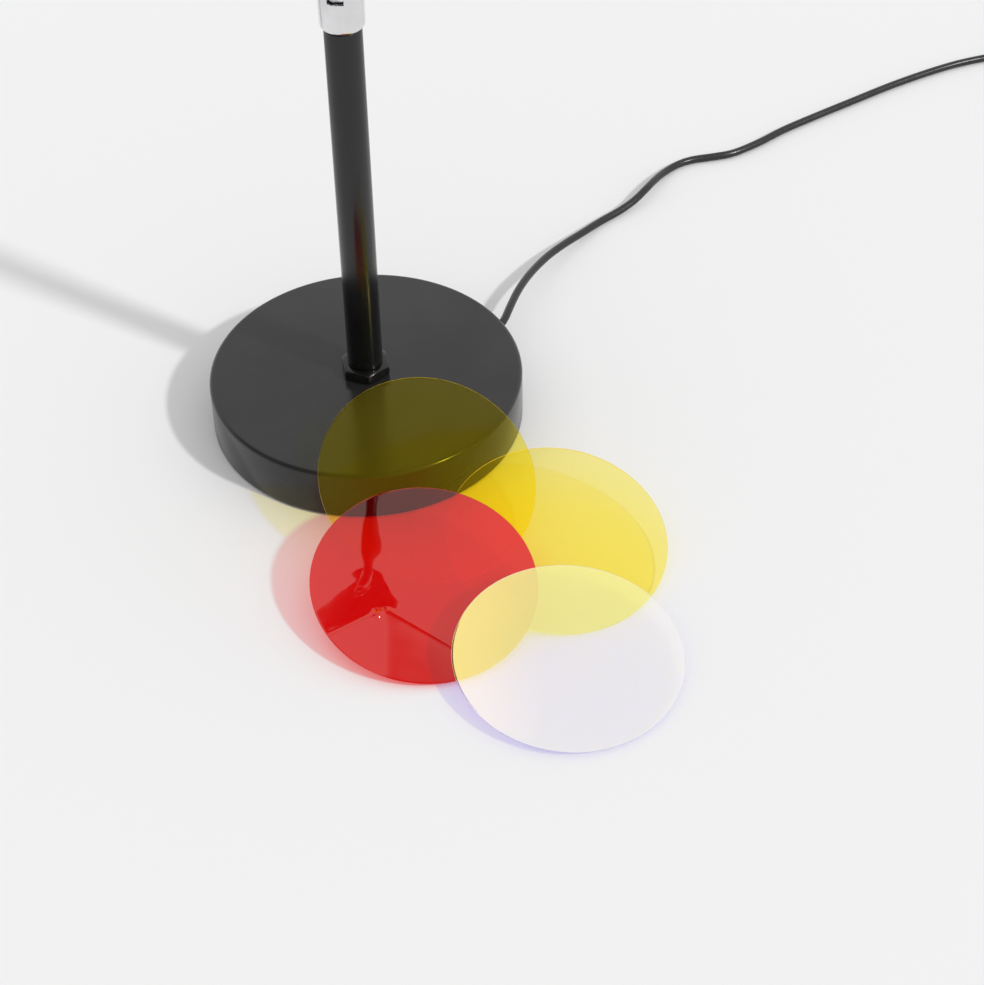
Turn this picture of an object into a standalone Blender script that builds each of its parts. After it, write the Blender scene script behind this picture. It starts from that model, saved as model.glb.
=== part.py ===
# A small table lamp that throws one round coloured glow: a heavy round base, a straight stem, a chrome
# knuckle, a can-shaped head with a condenser lens, and four loose colour films beside the base.
# Metres, +Z up. The origin is the middle of the base's underside, on the table. The films lie towards -Y.

import math

import bmesh
import bpy
from mathutils import Matrix, Vector

mm = 0.001

# Clearances
seat_gap = 0.3 * mm
table_gap = 0.1 * mm
overrun = 1.0 * mm
merge_gap = 0.01 * mm
tiny_bevel = 0.4 * mm

# Counts: sides of the round pieces and points of a rounded edge
large_sides = 48
middle_sides = 32
small_sides = 20
screw_sides = 12
edge_points = 3
hexagon = 6

# Base
base_radius = 60.0 * mm
base_height = 21.0 * mm
base_edge_radius = 1.2 * mm
base_top_thickness = 2.0 * mm
base_wall = 1.6 * mm
base_wall_lift = 0.8 * mm
pad_thickness = 1.5 * mm
pad_inset = 2.5 * mm
plate_thickness = 1.0 * mm
weight_hub_radius = 15.0 * mm
weight_hub_thickness = 5.8 * mm
weight_pocket_radius = 12.0 * mm
clamp_room = 6.6 * mm
base_screw_count = 3
base_screw_ring_share = 0.8
base_screw_radius = 1.4 * mm
base_screw_length = 6.0 * mm
base_screw_head_radius = 2.7 * mm
base_screw_head_height = 1.0 * mm
base_screw_turn = math.radians(6)

# Stem and the threaded pieces that clamp it
stem_radius = 6.7 * mm
stem_length = 148.0 * mm
thread_radius = 4.8 * mm
thread_bore = 3.5 * mm
nipple_reach = 12.0 * mm
nipple_tail = 0.5 * mm
nut_across_flats = 17.0 * mm
nut_height = 4.5 * mm
nut_turn = math.radians(40)
lock_washer_radius = 9.0 * mm
lock_washer_thickness = 1.2 * mm
lock_nut_height = 3.0 * mm

# Lead: where it leaves the base, and its own size
lead_radius = 1.6 * mm
exit_turn = math.radians(36.5)
grommet_neck_radius = 3.6 * mm
grommet_flange_radius = 5.0 * mm
grommet_flange_thickness = 1.2 * mm
grommet_nose_length = 1.5 * mm
grommet_nose_radius = 2.6 * mm
channel_width = 9.0 * mm
clamp_length = 18.0 * mm
clamp_width = 6.0 * mm
clamp_height = 2.5 * mm
clamp_place_share = 0.83
clamp_screw_radius = 1.1 * mm
clamp_screw_head_radius = 2.1 * mm
clamp_screw_head_height = 1.3 * mm
clamp_screw_length = 4.0 * mm
# From the clamp to the middle: the lead's distance out as a share of the clamp's, and its height as a share
# of the exit's; then, in the bend, both as shares of the bend
inner_run_shares = ((0.78, 0.86), (0.52, 0.56))
inner_floor_share = 0.30
inner_bend_shares = (0.22, 0.3)

# Knuckle
pan_rest = math.radians(-11.5)
top_nipple_reach = 9.0 * mm
wire_bore = 2.4 * mm
yoke_radius = 7.9 * mm
yoke_edge_radius = 1.5 * mm
yoke_floor_height = 12.0 * mm
yoke_slot_width = 5.8 * mm
pivot_above_floor = 10.0 * mm
cheek_margin = 0.1 * mm
tongue_end_radius = 6.9 * mm
shoulder_gap = 0.5 * mm
neck_height = 11.3 * mm
neck_edge_radius = 1.0 * mm
stud_radius = 3.9 * mm
stud_length = 11.6 * mm
tongue_bore = 1.5 * mm
tongue_bore_end = 4.8 * mm
pivot_radius = 2.0 * mm
pivot_seat_radius = 4.2 * mm
pivot_seat_depth = 1.5 * mm
pivot_head_radius = 3.7 * mm
pivot_head_height = 1.8 * mm
pivot_slot_width = 1.0 * mm
pivot_slot_depth = 0.8 * mm
pivot_nut_across_flats = 7.0 * mm
pivot_nut_height = 3.0 * mm

# Head, along its own axis: zero is the stud, plus is towards the lens. The can is wide enough for one film
can_film_margin = 2.5 * mm
can_wall = 2.0 * mm
can_half_length = 26.0 * mm
can_flange_width = 5.0 * mm
can_flange_thickness = 2.0 * mm
saddle_radius = 8.3 * mm
saddle_thickness = 1.0 * mm
stud_washer_radius = 6.5 * mm
stud_washer_thickness = 1.2 * mm
stud_nut_across_flats = 13.0 * mm
stud_nut_height = 3.6 * mm
cover_depth = 9.7 * mm
cover_wall = 2.0 * mm
cover_edge_radius = 5.0 * mm
spigot_length = 4.0 * mm
vent_count = 10
vent_width = 3.0 * mm
vent_length = 10.0 * mm
vent_ring_share = 0.40
cover_screw_count = 3
cover_screw_ring_share = 0.75
cover_screw_radius = 1.5 * mm
cover_screw_head_radius = 2.8 * mm
cover_screw_head_height = 1.6 * mm
sink_flange_thickness = 3.0 * mm
sink_fin_inset = 13.7 * mm
sink_fin_length = 9.0 * mm
sink_boss_radius = 16.0 * mm
sink_boss_length = 6.7 * mm
sink_slot_count = 5
sink_slot_width = 3.0 * mm
sink_slot_step = 8.0 * mm
board_radius = 15.0 * mm
board_thickness = 1.6 * mm
emitter_radius = 6.0 * mm
emitter_height = 1.2 * mm
reflector_wall = 1.2 * mm
reflector_small_radius = 7.2 * mm
reflector_rim_width = 11.7 * mm
reflector_length = 19.4 * mm
holder_wall = 7.4 * mm
lens_edge_thickness = 3.5 * mm
lens_flat_width = 2.2 * mm
lens_cap_height = 8.0 * mm
lens_cap_points = 7
holder_lip_thickness = 1.3 * mm
holder_lip_width = 2.4 * mm
lens_ring_thickness = 2.0 * mm
ring_wall = 1.5 * mm
ring_overlap = 6.0 * mm
ring_lip_thickness = 2.0 * mm
ring_lip_width = 3.5 * mm
ring_edge_radius = 1.2 * mm
film_recess_depth = 2.0 * mm
head_lead_radius = 1.1 * mm

# Films: one size; each lies with its lowest edge on the table and leans on what is below it
film_radius = 40.5 * mm
film_thickness = 0.5 * mm
film_sides = 60
film_rim_points = 8 * film_sides
# How far the first film's middle lies past the base's edge, as a share of the film's radius, and where to
first_film_share = 0.114
first_film_turn = math.radians(-68.2)
# Bottom film first: its middle from the first one's in shares of the film's radius, its slope in shares of
# the base's height over the film's radius, and the bearing of its lowest edge
film_place_shares = {
    "film_yellow_1": (0, 0, 1.0168, math.radians(-62)),
    "film_yellow_2": (1.1437, -0.5630, 0.4453, math.radians(-62)),
    "film_red": (-0.0326, -1.1156, 0.4809, math.radians(-68)),
    "film_dichroic": (1.1985, -1.8889, 0.2061, math.radians(-60)),
}

# Lead on the table, point by point, from the grommet to the switch
run_route = [
    (50.9 * mm, 37.7 * mm, 10.5 * mm),
    (52.3 * mm, 38.7 * mm, 10.5 * mm),
    (54.0 * mm, 42.0 * mm, 10.6 * mm),
    (56.3 * mm, 49.5 * mm, 10.7 * mm),
    (59.7 * mm, 60.2 * mm, 10.2 * mm),
    (64.6 * mm, 72.3 * mm, 8.8 * mm),
    (71.9 * mm, 86.2 * mm, 6.6 * mm),
    (79.4 * mm, 97.2 * mm, 4.6 * mm),
    (87.7 * mm, 107.2 * mm, 2.9 * mm),
    (95.8 * mm, 116.3 * mm, 1.8 * mm),
    (104.8 * mm, 123.6 * mm, 2.1 * mm),
    (111.4 * mm, 129.4 * mm, 3.2 * mm),
    (116.4 * mm, 135.8 * mm, 4.0 * mm),
    (121.3 * mm, 144.1 * mm, 3.2 * mm),
    (126.4 * mm, 151.6 * mm, 2.0 * mm),
    (132.2 * mm, 157.0 * mm, 1.65 * mm),
    (138.6 * mm, 160.1 * mm, 1.65 * mm),
    (147.6 * mm, 162.0 * mm, 1.65 * mm),
    (157.0 * mm, 164.6 * mm, 1.65 * mm),
    (168.8 * mm, 172.0 * mm, 1.65 * mm),
    (181.2 * mm, 181.6 * mm, 1.65 * mm),
    (196.8 * mm, 191.8 * mm, 1.65 * mm),
    (212.6 * mm, 201.7 * mm, 1.65 * mm),
    (237.0 * mm, 216.7 * mm, 1.65 * mm),
    (262.9 * mm, 229.9 * mm, 1.65 * mm),
    (283.0 * mm, 236.6 * mm, 1.65 * mm),
    (298.0 * mm, 239.4 * mm, 2.0 * mm),
    (306.0 * mm, 240.4 * mm, 2.7 * mm),
    (312.5 * mm, 240.6 * mm, 3.2 * mm),
    (319.0 * mm, 240.6 * mm, 3.3 * mm),
]
route_step = 4 * lead_radius
curve_samples = 16

# Push switch in the lead
switch_length = 44.0 * mm
switch_width = 17.0 * mm
switch_height = 12.0 * mm
switch_edge_radius = 3.0 * mm
switch_nose_length = 5.0 * mm
switch_nose_radius = 2.4 * mm
switch_pocket_length = 16.0 * mm
switch_pocket_width = 9.0 * mm
switch_pocket_depth = 3.6 * mm
button_radius = 4.6 * mm
button_travel = 1.5 * mm
button_proud = 2.0 * mm
button_height = 5.6 * mm

# Coil: loops wound in and out in four layers
coil_centre = (387.0 * mm, 217.2 * mm)
coil_layers = 4
coil_turns = 9.25
coil_outer_radius = 23.4 * mm
coil_turn_gap = 0.6 * mm
coil_points_a_turn = 24
# The lead climbs to the next layer in this part of a turn before and after the spiral reverses
coil_climb_share = 0.25
# From the switch to the coil: shares of the way and of the fall
link_shares = ((0.25, 0.10), (0.70, 0.72))
tie_thickness = 0.8 * mm
tie_width = 6.0 * mm
tie_gap = 0.7 * mm
tie_turn = math.radians(215)

# Plug
plug_length = 24.0 * mm
plug_width = 14.0 * mm
plug_height = 7.6 * mm
plug_edge_radius = 1.2 * mm
plug_nose_length = 8.0 * mm
plug_nose_radius = 2.9 * mm
plug_shell_width = 12.0 * mm
plug_shell_height = 4.5 * mm
plug_shell_length = 12.0 * mm
plug_shell_wall = 0.35 * mm
plug_shell_root = 4.0 * mm
plug_tongue_thickness = 1.9 * mm
plug_tail_drop = 38.0 * mm
plug_tail_straight = 12.0 * mm
# From the coil's top down to the table: shares of the way and of the height
tail_shares = ((0.16, 0.99), (0.4, 0.72), (0.7, 0.24), (0.9, 0.06))

# Places that follow from the sizes above
hexagon_corner_share = 1 / math.cos(math.pi / hexagon)
pad_radius = base_radius - base_wall - pad_inset
plate_bottom = pad_thickness + seat_gap
plate_radius = base_radius - base_wall - seat_gap
weight_bottom = plate_bottom + plate_thickness + seat_gap
weight_hub_top = base_height - base_top_thickness - seat_gap
weight_top = weight_hub_top - clamp_room
pocket_roof = weight_hub_top - weight_hub_thickness
exit_height = weight_top - lead_radius
screw_ring = base_radius * base_screw_ring_share
nut_bottom = base_height + seat_gap
stem_bottom = nut_bottom + nut_height + seat_gap
stem_top = stem_bottom + stem_length
stem_bore = thread_radius + seat_gap
lock_washer_bottom = pocket_roof - seat_gap - lock_washer_thickness
lock_nut_bottom = lock_washer_bottom - seat_gap - lock_nut_height
nipple_bottom = lock_nut_bottom - nipple_tail
grommet_face = base_radius + seat_gap + grommet_flange_thickness + grommet_nose_length
inner_floor = plate_bottom + plate_thickness + seat_gap + lead_radius

yoke_bottom = stem_top + seat_gap
yoke_floor = yoke_bottom + yoke_floor_height
pivot_height = yoke_floor + pivot_above_floor
yoke_top = pivot_height + yoke_radius
tongue_thickness = yoke_slot_width - 2 * seat_gap
pivot_seat = yoke_radius - pivot_seat_depth
shoulder_height = yoke_top + shoulder_gap
neck_top = shoulder_height + neck_height
stud_top = neck_top + stud_length
saddle_bottom = neck_top + seat_gap
can_radius = film_radius + can_film_margin
head_height = saddle_bottom + saddle_thickness + seat_gap + can_radius

can_bore = can_radius - can_wall
inner_fit_radius = can_bore - seat_gap
can_front = can_half_length
can_back = -can_half_length
cover_front = can_back - seat_gap
cover_back = cover_front - cover_depth
spigot_end = can_back + spigot_length
spigot_bore = inner_fit_radius - cover_wall
sink_fin_radius = spigot_bore - sink_fin_inset
sink_back = spigot_end + seat_gap
sink_front = sink_back + sink_flange_thickness
boss_front = sink_front + sink_boss_length
board_back = boss_front + seat_gap
board_front = board_back + board_thickness
emitter_back = board_front + seat_gap
reflector_back = board_front + seat_gap
reflector_front = reflector_back + reflector_length
reflector_large_radius = inner_fit_radius - reflector_rim_width
holder_back = reflector_front + seat_gap
lens_back = holder_back + holder_lip_thickness + seat_gap
lens_edge_front = lens_back + lens_edge_thickness
holder_front = lens_edge_front
lens_ring_back = holder_front + seat_gap
lens_seat_radius = inner_fit_radius - holder_wall
lens_radius = lens_seat_radius - seat_gap
lens_cap_radius = lens_radius - lens_flat_width
ring_bore = can_radius + seat_gap
ring_radius = ring_bore + ring_wall
ring_back = can_front - ring_overlap
ring_step = can_front + seat_gap
ring_lip_back = ring_step + film_recess_depth
ring_front = ring_lip_back + ring_lip_thickness
film_bore = film_radius + seat_gap
ring_mouth = film_bore - ring_lip_width

switch_start = Vector(run_route[-1])
coil_pitch = 2 * lead_radius + coil_turn_gap
coil_bottom = tie_thickness + seat_gap + lead_radius

collections = {}


def start_clean():
    for thing in list(bpy.data.objects):
        bpy.data.objects.remove(thing, do_unlink=True)
    for name in ("sunset_lamp", "cutters"):
        collection = bpy.data.collections.new(name)
        bpy.context.scene.collection.children.link(collection)
        collections[name] = collection


def material(name, colour, roughness, metallic=0.0, transmission=0.0):
    made = bpy.data.materials.new(name)
    made.use_nodes = True
    shader = made.node_tree.nodes["Principled BSDF"]
    shader.inputs["Base Color"].default_value = (*colour, 1.0)
    shader.inputs["Roughness"].default_value = roughness
    shader.inputs["Metallic"].default_value = metallic
    shader.inputs["Transmission Weight"].default_value = transmission
    return made


def place(name, data, look, parent=None, location=(0, 0, 0)):
    thing = bpy.data.objects.new(name, data)
    collections["sunset_lamp"].objects.link(thing)
    thing.parent = parent
    thing.location = location
    own_look = look.copy()
    own_look.name = name
    data.materials.append(own_look)
    return thing


def as_cutter(thing):
    collections["sunset_lamp"].objects.unlink(thing)
    collections["cutters"].objects.link(thing)
    thing.hide_render = True
    thing.display_type = "WIRE"
    return thing


def combine(target, other, operation):
    step = target.modifiers.new(operation.lower(), "BOOLEAN")
    step.operation = operation
    step.object = other


def cut(target, *cutters):
    for cutter in cutters:
        combine(target, cutter, "DIFFERENCE")


def smooth(thing, limit=math.radians(35)):
    thing.data.shade_smooth()
    thing.data.set_sharp_from_angle(angle=limit)


def bevel(thing, width, segments=2, limit=math.radians(75)):
    step = thing.modifiers.new("rounded_edges", "BEVEL")
    step.width = width
    step.segments = segments
    step.limit_method = "ANGLE"
    step.angle_limit = limit


def arc(centre, radius, start, end, points=edge_points):
    # Points on a circle of a turned profile, angles in degrees, plus X outwards
    made = []
    for index in range(points + 1):
        angle = math.radians(start + (end - start) * index / points)
        made.append((centre[0] + radius * math.cos(angle), centre[1] + radius * math.sin(angle)))
    return made


def turned(name, profile, look, sides=middle_sides, closed=True, parent=None, location=(0, 0, 0)):
    # The profile runs down the outer side; a closed one has a bore, an open one starts and ends on the axis
    mesh = bpy.data.meshes.new(name)
    edges = [(index, index + 1) for index in range(len(profile) - 1)]
    if closed:
        edges.append((len(profile) - 1, 0))
    mesh.from_pydata([(x, 0, z) for x, z in profile], edges, [])
    thing = place(name, mesh, look, parent, location)
    step = thing.modifiers.new("turned", "SCREW")
    step.steps = sides
    step.render_steps = sides
    step.use_merge_vertices = True
    step.merge_threshold = merge_gap
    step.use_smooth_shade = False
    return thing


def disc_profile(radius, bottom, top):
    return [(0, top), (radius, top), (radius, bottom), (0, bottom)]


def ring_profile(radius, bore, bottom, top):
    return [(radius, top), (radius, bottom), (bore, bottom), (bore, top)]


def block(name, size, look, parent=None, centre=(0, 0, 0)):
    shape = bmesh.new()
    bmesh.ops.create_cube(shape, size=1)
    bmesh.ops.scale(shape, vec=size, verts=shape.verts)
    bmesh.ops.translate(shape, vec=centre, verts=shape.verts)
    mesh = bpy.data.meshes.new(name)
    shape.to_mesh(mesh)
    shape.free()
    return place(name, mesh, look, parent)


def rod(name, radius, bottom, top, look, sides=small_sides, parent=None, location=(0, 0, 0),
        rotation=(0, 0, 0)):
    # Turned by half a side, so that no corner lies on the Y axis
    shape = bmesh.new()
    bmesh.ops.create_cone(shape, cap_ends=True, segments=sides, radius1=radius, radius2=radius,
                          depth=top - bottom, matrix=Matrix.Rotation(math.pi / sides, 4, "Z"))
    bmesh.ops.translate(shape, vec=(0, 0, (top + bottom) / 2), verts=shape.verts)
    mesh = bpy.data.meshes.new(name)
    shape.to_mesh(mesh)
    shape.free()
    thing = place(name, mesh, look, parent, location)
    thing.rotation_euler = rotation
    smooth(thing)
    return thing


def to_mesh(thing):
    # A curve is made a mesh with welded caps before it is cut or joined
    bpy.context.view_layer.update()
    graph = bpy.context.evaluated_depsgraph_get()
    mesh = bpy.data.meshes.new_from_object(thing.evaluated_get(graph))
    shape = bmesh.new()
    shape.from_mesh(mesh)
    bmesh.ops.remove_doubles(shape, verts=shape.verts, dist=merge_gap)
    shape.to_mesh(mesh)
    shape.free()
    made = bpy.data.objects.new(thing.name, mesh)
    collections["sunset_lamp"].objects.link(made)
    made.parent = thing.parent
    made.matrix_world = thing.matrix_world
    name = thing.name
    bpy.data.objects.remove(thing, do_unlink=True)
    made.name = name
    return made


def outline(name, loops, thickness, look, parent=None, matrix=Matrix()):
    # A flat outline with square sides; further loops are holes in it
    curve = bpy.data.curves.new(name, "CURVE")
    curve.dimensions = "2D"
    curve.fill_mode = "BOTH"
    curve.extrude = thickness / 2
    for loop in loops:
        spline = curve.splines.new("POLY")
        spline.points.add(len(loop) - 1)
        for point, (x, y) in zip(spline.points, loop):
            point.co = (x, y, 0, 1)
        spline.use_cyclic_u = True
    thing = place(name, curve, look, parent)
    thing.matrix_local = matrix
    return to_mesh(thing)


def tube(name, points, radius, look, sides_step=2, parent=None):
    curve = bpy.data.curves.new(name, "CURVE")
    curve.dimensions = "3D"
    curve.bevel_depth = radius
    curve.bevel_resolution = sides_step
    curve.use_fill_caps = True
    spline = curve.splines.new("POLY")
    spline.points.add(len(points) - 1)
    for point, place_at in zip(spline.points, points):
        point.co = (*place_at, 1)
    return place(name, curve, look, parent)


def smooth_route(points, step):
    # A smooth curve through the hand-set points, read at even steps
    knots = [Vector(point) for point in points]
    knots = [2 * knots[0] - knots[1]] + knots + [2 * knots[-1] - knots[-2]]
    dense = []
    for index in range(1, len(knots) - 2):
        before, start, end, after = knots[index - 1:index + 3]
        for sample in range(curve_samples):
            t = sample / curve_samples
            dense.append(0.5 * (2 * start + (end - before) * t
                                + (2 * before - 5 * start + 4 * end - after) * t ** 2
                                + (3 * start - before - 3 * end + after) * t ** 3))
    dense.append(knots[-2])
    lengths = [0.0]
    for first, second in zip(dense, dense[1:]):
        lengths.append(lengths[-1] + (second - first).length)
    count = max(2, round(lengths[-1] / step))
    made = []
    index = 0
    for number in range(count + 1):
        wanted = lengths[-1] * number / count
        while index < len(dense) - 2 and lengths[index + 1] < wanted:
            index += 1
        share = (wanted - lengths[index]) / (lengths[index + 1] - lengths[index])
        made.append(dense[index].lerp(dense[index + 1], share))
    return made, lengths[-1]


def looks():
    return {
        "black_paint": material("black_paint", (0.035, 0.035, 0.036), 0.45),
        "gloss_black": material("gloss_black", (0.012, 0.012, 0.012), 0.25),
        "chrome": material("chrome", (0.80, 0.80, 0.81), 0.12, metallic=1.0),
        "steel": material("steel", (0.55, 0.55, 0.56), 0.35, metallic=1.0),
        "zinc": material("zinc", (0.62, 0.60, 0.55), 0.4, metallic=1.0),
        "cast_iron": material("cast_iron", (0.10, 0.10, 0.11), 0.7, metallic=0.6),
        "foam": material("foam", (0.02, 0.02, 0.02), 0.95),
        "black_pvc": material("black_pvc", (0.02, 0.02, 0.02), 0.4),
        "black_plastic": material("black_plastic", (0.018, 0.018, 0.019), 0.5),
        "aluminium": material("aluminium", (0.75, 0.76, 0.77), 0.4, metallic=1.0),
        "board_white": material("board_white", (0.85, 0.86, 0.84), 0.5),
        "phosphor": material("phosphor", (0.90, 0.62, 0.08), 0.5),
        "mirror_cup": material("mirror_cup", (0.85, 0.85, 0.86), 0.1, metallic=1.0),
        "lens_clear": material("lens_clear", (0.97, 0.98, 0.98), 0.03, transmission=1.0),
        "film_yellow": material("film_yellow", (0.95, 0.75, 0.10), 0.15, transmission=0.9),
        "film_red": material("film_red", (0.80, 0.04, 0.03), 0.12, transmission=0.8),
        "film_pale": material("film_pale", (0.93, 0.90, 0.96), 0.08, transmission=0.95),
    }


def around(radius, angle, height=0.0):
    return Vector((radius * math.cos(angle), radius * math.sin(angle), height))


def make_base(look):
    edge_centre = (base_radius - base_edge_radius, base_height - base_edge_radius)
    shell = turned("base_shell", [
        (stem_bore, base_height), *arc(edge_centre, base_edge_radius, 90, 0),
        (base_radius, base_wall_lift), (base_radius - base_wall, base_wall_lift),
        (base_radius - base_wall, base_height - base_top_thickness),
        (stem_bore, base_height - base_top_thickness)], look["black_paint"], large_sides)
    weight_radius = plate_radius
    weight = turned("base_weight", [
        (weight_hub_radius, weight_hub_top), (weight_hub_radius, weight_top),
        (weight_radius, weight_top), (weight_radius, weight_bottom),
        (weight_pocket_radius, weight_bottom), (weight_pocket_radius, pocket_roof),
        (stem_bore, pocket_roof), (stem_bore, weight_hub_top)], look["cast_iron"], large_sides)
    plate = turned("base_plate", disc_profile(plate_radius, plate_bottom, plate_bottom + plate_thickness),
                   look["zinc"], large_sides, closed=False)
    pad = turned("foot_pad", disc_profile(pad_radius, 0, pad_thickness), look["foam"], large_sides,
                 closed=False)

    exit_place = around(0, 0, exit_height)
    along_exit = (0, math.pi / 2, exit_turn)
    wall_hole = as_cutter(rod("wall_hole", grommet_neck_radius + seat_gap, weight_hub_radius,
                              base_radius + overrun, look["steel"], location=exit_place, rotation=along_exit))
    cut(shell, wall_hole)

    channel_start = weight_pocket_radius - overrun
    channel_end = base_radius
    channel_low = weight_bottom - overrun
    channel_high = weight_top + overrun
    channel_size = (channel_end - channel_start, channel_width, channel_high - channel_low)
    channel_middle = ((channel_end + channel_start) / 2, 0, (channel_high + channel_low) / 2)
    channel = as_cutter(block("lead_channel", channel_size, look["steel"], centre=channel_middle))
    channel.rotation_euler = (0, 0, exit_turn)
    cut(weight, channel)

    for index in range(base_screw_count):
        angle = base_screw_turn + 2 * math.pi * index / base_screw_count
        spot = around(screw_ring, angle)
        head_bottom = plate_bottom - seat_gap - base_screw_head_height
        head_top = plate_bottom - seat_gap
        shank_top = weight_bottom + base_screw_length
        turned(f"base_screw_{index + 1}", [
            (0, shank_top), (base_screw_radius, shank_top), (base_screw_radius, head_top),
            (base_screw_head_radius, head_top), (base_screw_head_radius, head_bottom), (0, head_bottom)],
            look["zinc"], screw_sides, closed=False, location=spot)
        hole = as_cutter(rod("base_screw_hole", base_screw_radius + seat_gap, -overrun, shank_top + seat_gap,
                             look["steel"], screw_sides, location=spot))
        head_hole = as_cutter(rod("pad_hole", base_screw_head_radius + seat_gap, -overrun,
                                  pad_thickness + overrun, look["steel"], screw_sides, location=spot))
        cut(weight, hole)
        cut(plate, hole)
        cut(pad, head_hole)
    return weight


def make_stem(look):
    nut_corner = nut_across_flats / 2 * hexagon_corner_share
    nut = rod("stem_nut", nut_corner, nut_bottom, nut_bottom + nut_height, look["gloss_black"], hexagon,
              rotation=(0, 0, nut_turn))
    bevel(nut, tiny_bevel)
    nut_hole = as_cutter(rod("nut_hole", thread_radius + seat_gap, nut_bottom - overrun,
                             nut_bottom + nut_height + overrun, look["steel"], small_sides))
    cut(nut, nut_hole)
    turned("stem_nipple", ring_profile(thread_radius, thread_bore, nipple_bottom, stem_bottom + nipple_reach),
           look["zinc"], small_sides)
    lock_washer_top = lock_washer_bottom + lock_washer_thickness
    turned("lock_washer", ring_profile(lock_washer_radius, stem_bore, lock_washer_bottom, lock_washer_top),
           look["steel"], small_sides)
    lock_corner = nut_across_flats / 2 * hexagon_corner_share
    lock_nut = rod("lock_nut", lock_corner, lock_nut_bottom, lock_nut_bottom + lock_nut_height, look["steel"],
                   hexagon)
    lock_hole = as_cutter(rod("lock_nut_hole", stem_bore, lock_nut_bottom - overrun,
                              lock_nut_bottom + lock_nut_height + overrun, look["steel"]))
    cut(lock_nut, lock_hole)
    turned("stem_tube", ring_profile(stem_radius, stem_bore, stem_bottom, stem_top), look["gloss_black"])
    top_nipple_top = stem_top + top_nipple_reach
    turned("top_nipple", ring_profile(thread_radius, wire_bore, stem_top - nipple_reach, top_nipple_top),
           look["zinc"], small_sides)


def make_lead_exit(look, weight):
    # Turned about the lead's own line, which points out of the base
    inner_wall = base_radius - base_wall
    wall_sag = inner_wall - math.sqrt(inner_wall ** 2 - grommet_flange_radius ** 2)
    inner_face = inner_wall - wall_sag - seat_gap
    outer_face = base_radius + seat_gap
    grommet = turned("cord_grommet", [
        (grommet_nose_radius, grommet_face), (grommet_flange_radius, outer_face + grommet_flange_thickness),
        (grommet_flange_radius, outer_face), (grommet_neck_radius, outer_face),
        (grommet_neck_radius, inner_face), (grommet_flange_radius, inner_face),
        (grommet_flange_radius, inner_face - grommet_flange_thickness),
        (lead_radius + seat_gap, inner_face - grommet_flange_thickness),
        (lead_radius + seat_gap, grommet_face)], look["black_pvc"], small_sides)
    grommet.location = (0, 0, exit_height)
    grommet.rotation_euler = (0, math.pi / 2, exit_turn)
    room = as_cutter(rod("grommet_room", grommet_flange_radius + seat_gap,
                         inner_face - grommet_flange_thickness - seat_gap, base_radius, look["steel"],
                         location=grommet.location, rotation=grommet.rotation_euler))
    cut(weight, room)

    clamp_bottom = weight_top + seat_gap
    clamp_place = base_radius * clamp_place_share
    clamp = block("cord_clamp", (clamp_width, clamp_length, clamp_height), look["black_plastic"],
                  centre=(clamp_place, 0, clamp_bottom + clamp_height / 2))
    clamp.rotation_euler = (0, 0, exit_turn)
    spread = Matrix.Rotation(exit_turn, 4, "Z")
    for index, side in enumerate((-1, 1)):
        spot = spread @ Vector((clamp_place, side * (channel_width + clamp_length) / 4, 0))
        head_bottom = clamp_bottom + clamp_height + seat_gap
        head_top = head_bottom + clamp_screw_head_height
        shank_bottom = weight_top - clamp_screw_length
        turned(f"clamp_screw_{index + 1}", [
            (0, head_top), (clamp_screw_head_radius, head_top), (clamp_screw_head_radius, head_bottom),
            (clamp_screw_radius, head_bottom), (clamp_screw_radius, shank_bottom), (0, shank_bottom)],
            look["zinc"], screw_sides, closed=False, location=spot)
        hole = as_cutter(rod("clamp_screw_hole", clamp_screw_radius + seat_gap, shank_bottom - seat_gap,
                             head_bottom + overrun, look["steel"], screw_sides, location=spot))
        cut(clamp, hole)
        cut(weight, hole)

    # Inside, the lead dips through the weight's channel and turns up into the nipple
    bend = 4 * lead_radius
    bend_out_share, bend_up_share = inner_bend_shares
    inside = [around(grommet_face, exit_turn, exit_height), around(inner_face, exit_turn, exit_height),
              around(clamp_place, exit_turn, exit_height)]
    for out_share, height_share in inner_run_shares:
        inside.append(around(clamp_place * out_share, exit_turn, exit_height * height_share))
    inside += [around(clamp_place * inner_floor_share, exit_turn, inner_floor),
               around(bend, exit_turn, inner_floor),
               around(bend * bend_out_share, exit_turn, inner_floor + bend * bend_up_share),
               around(0, exit_turn, inner_floor + bend), around(0, 0, stem_bottom)]
    points, length = smooth_route(inside, route_step / 2)
    lead_top = around(0, 0, yoke_floor - overrun)
    tube("inner_lead", points + [lead_top], lead_radius, look["black_pvc"])
    print("inner lead length", round(length + (lead_top - points[-1]).length, 4))


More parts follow.
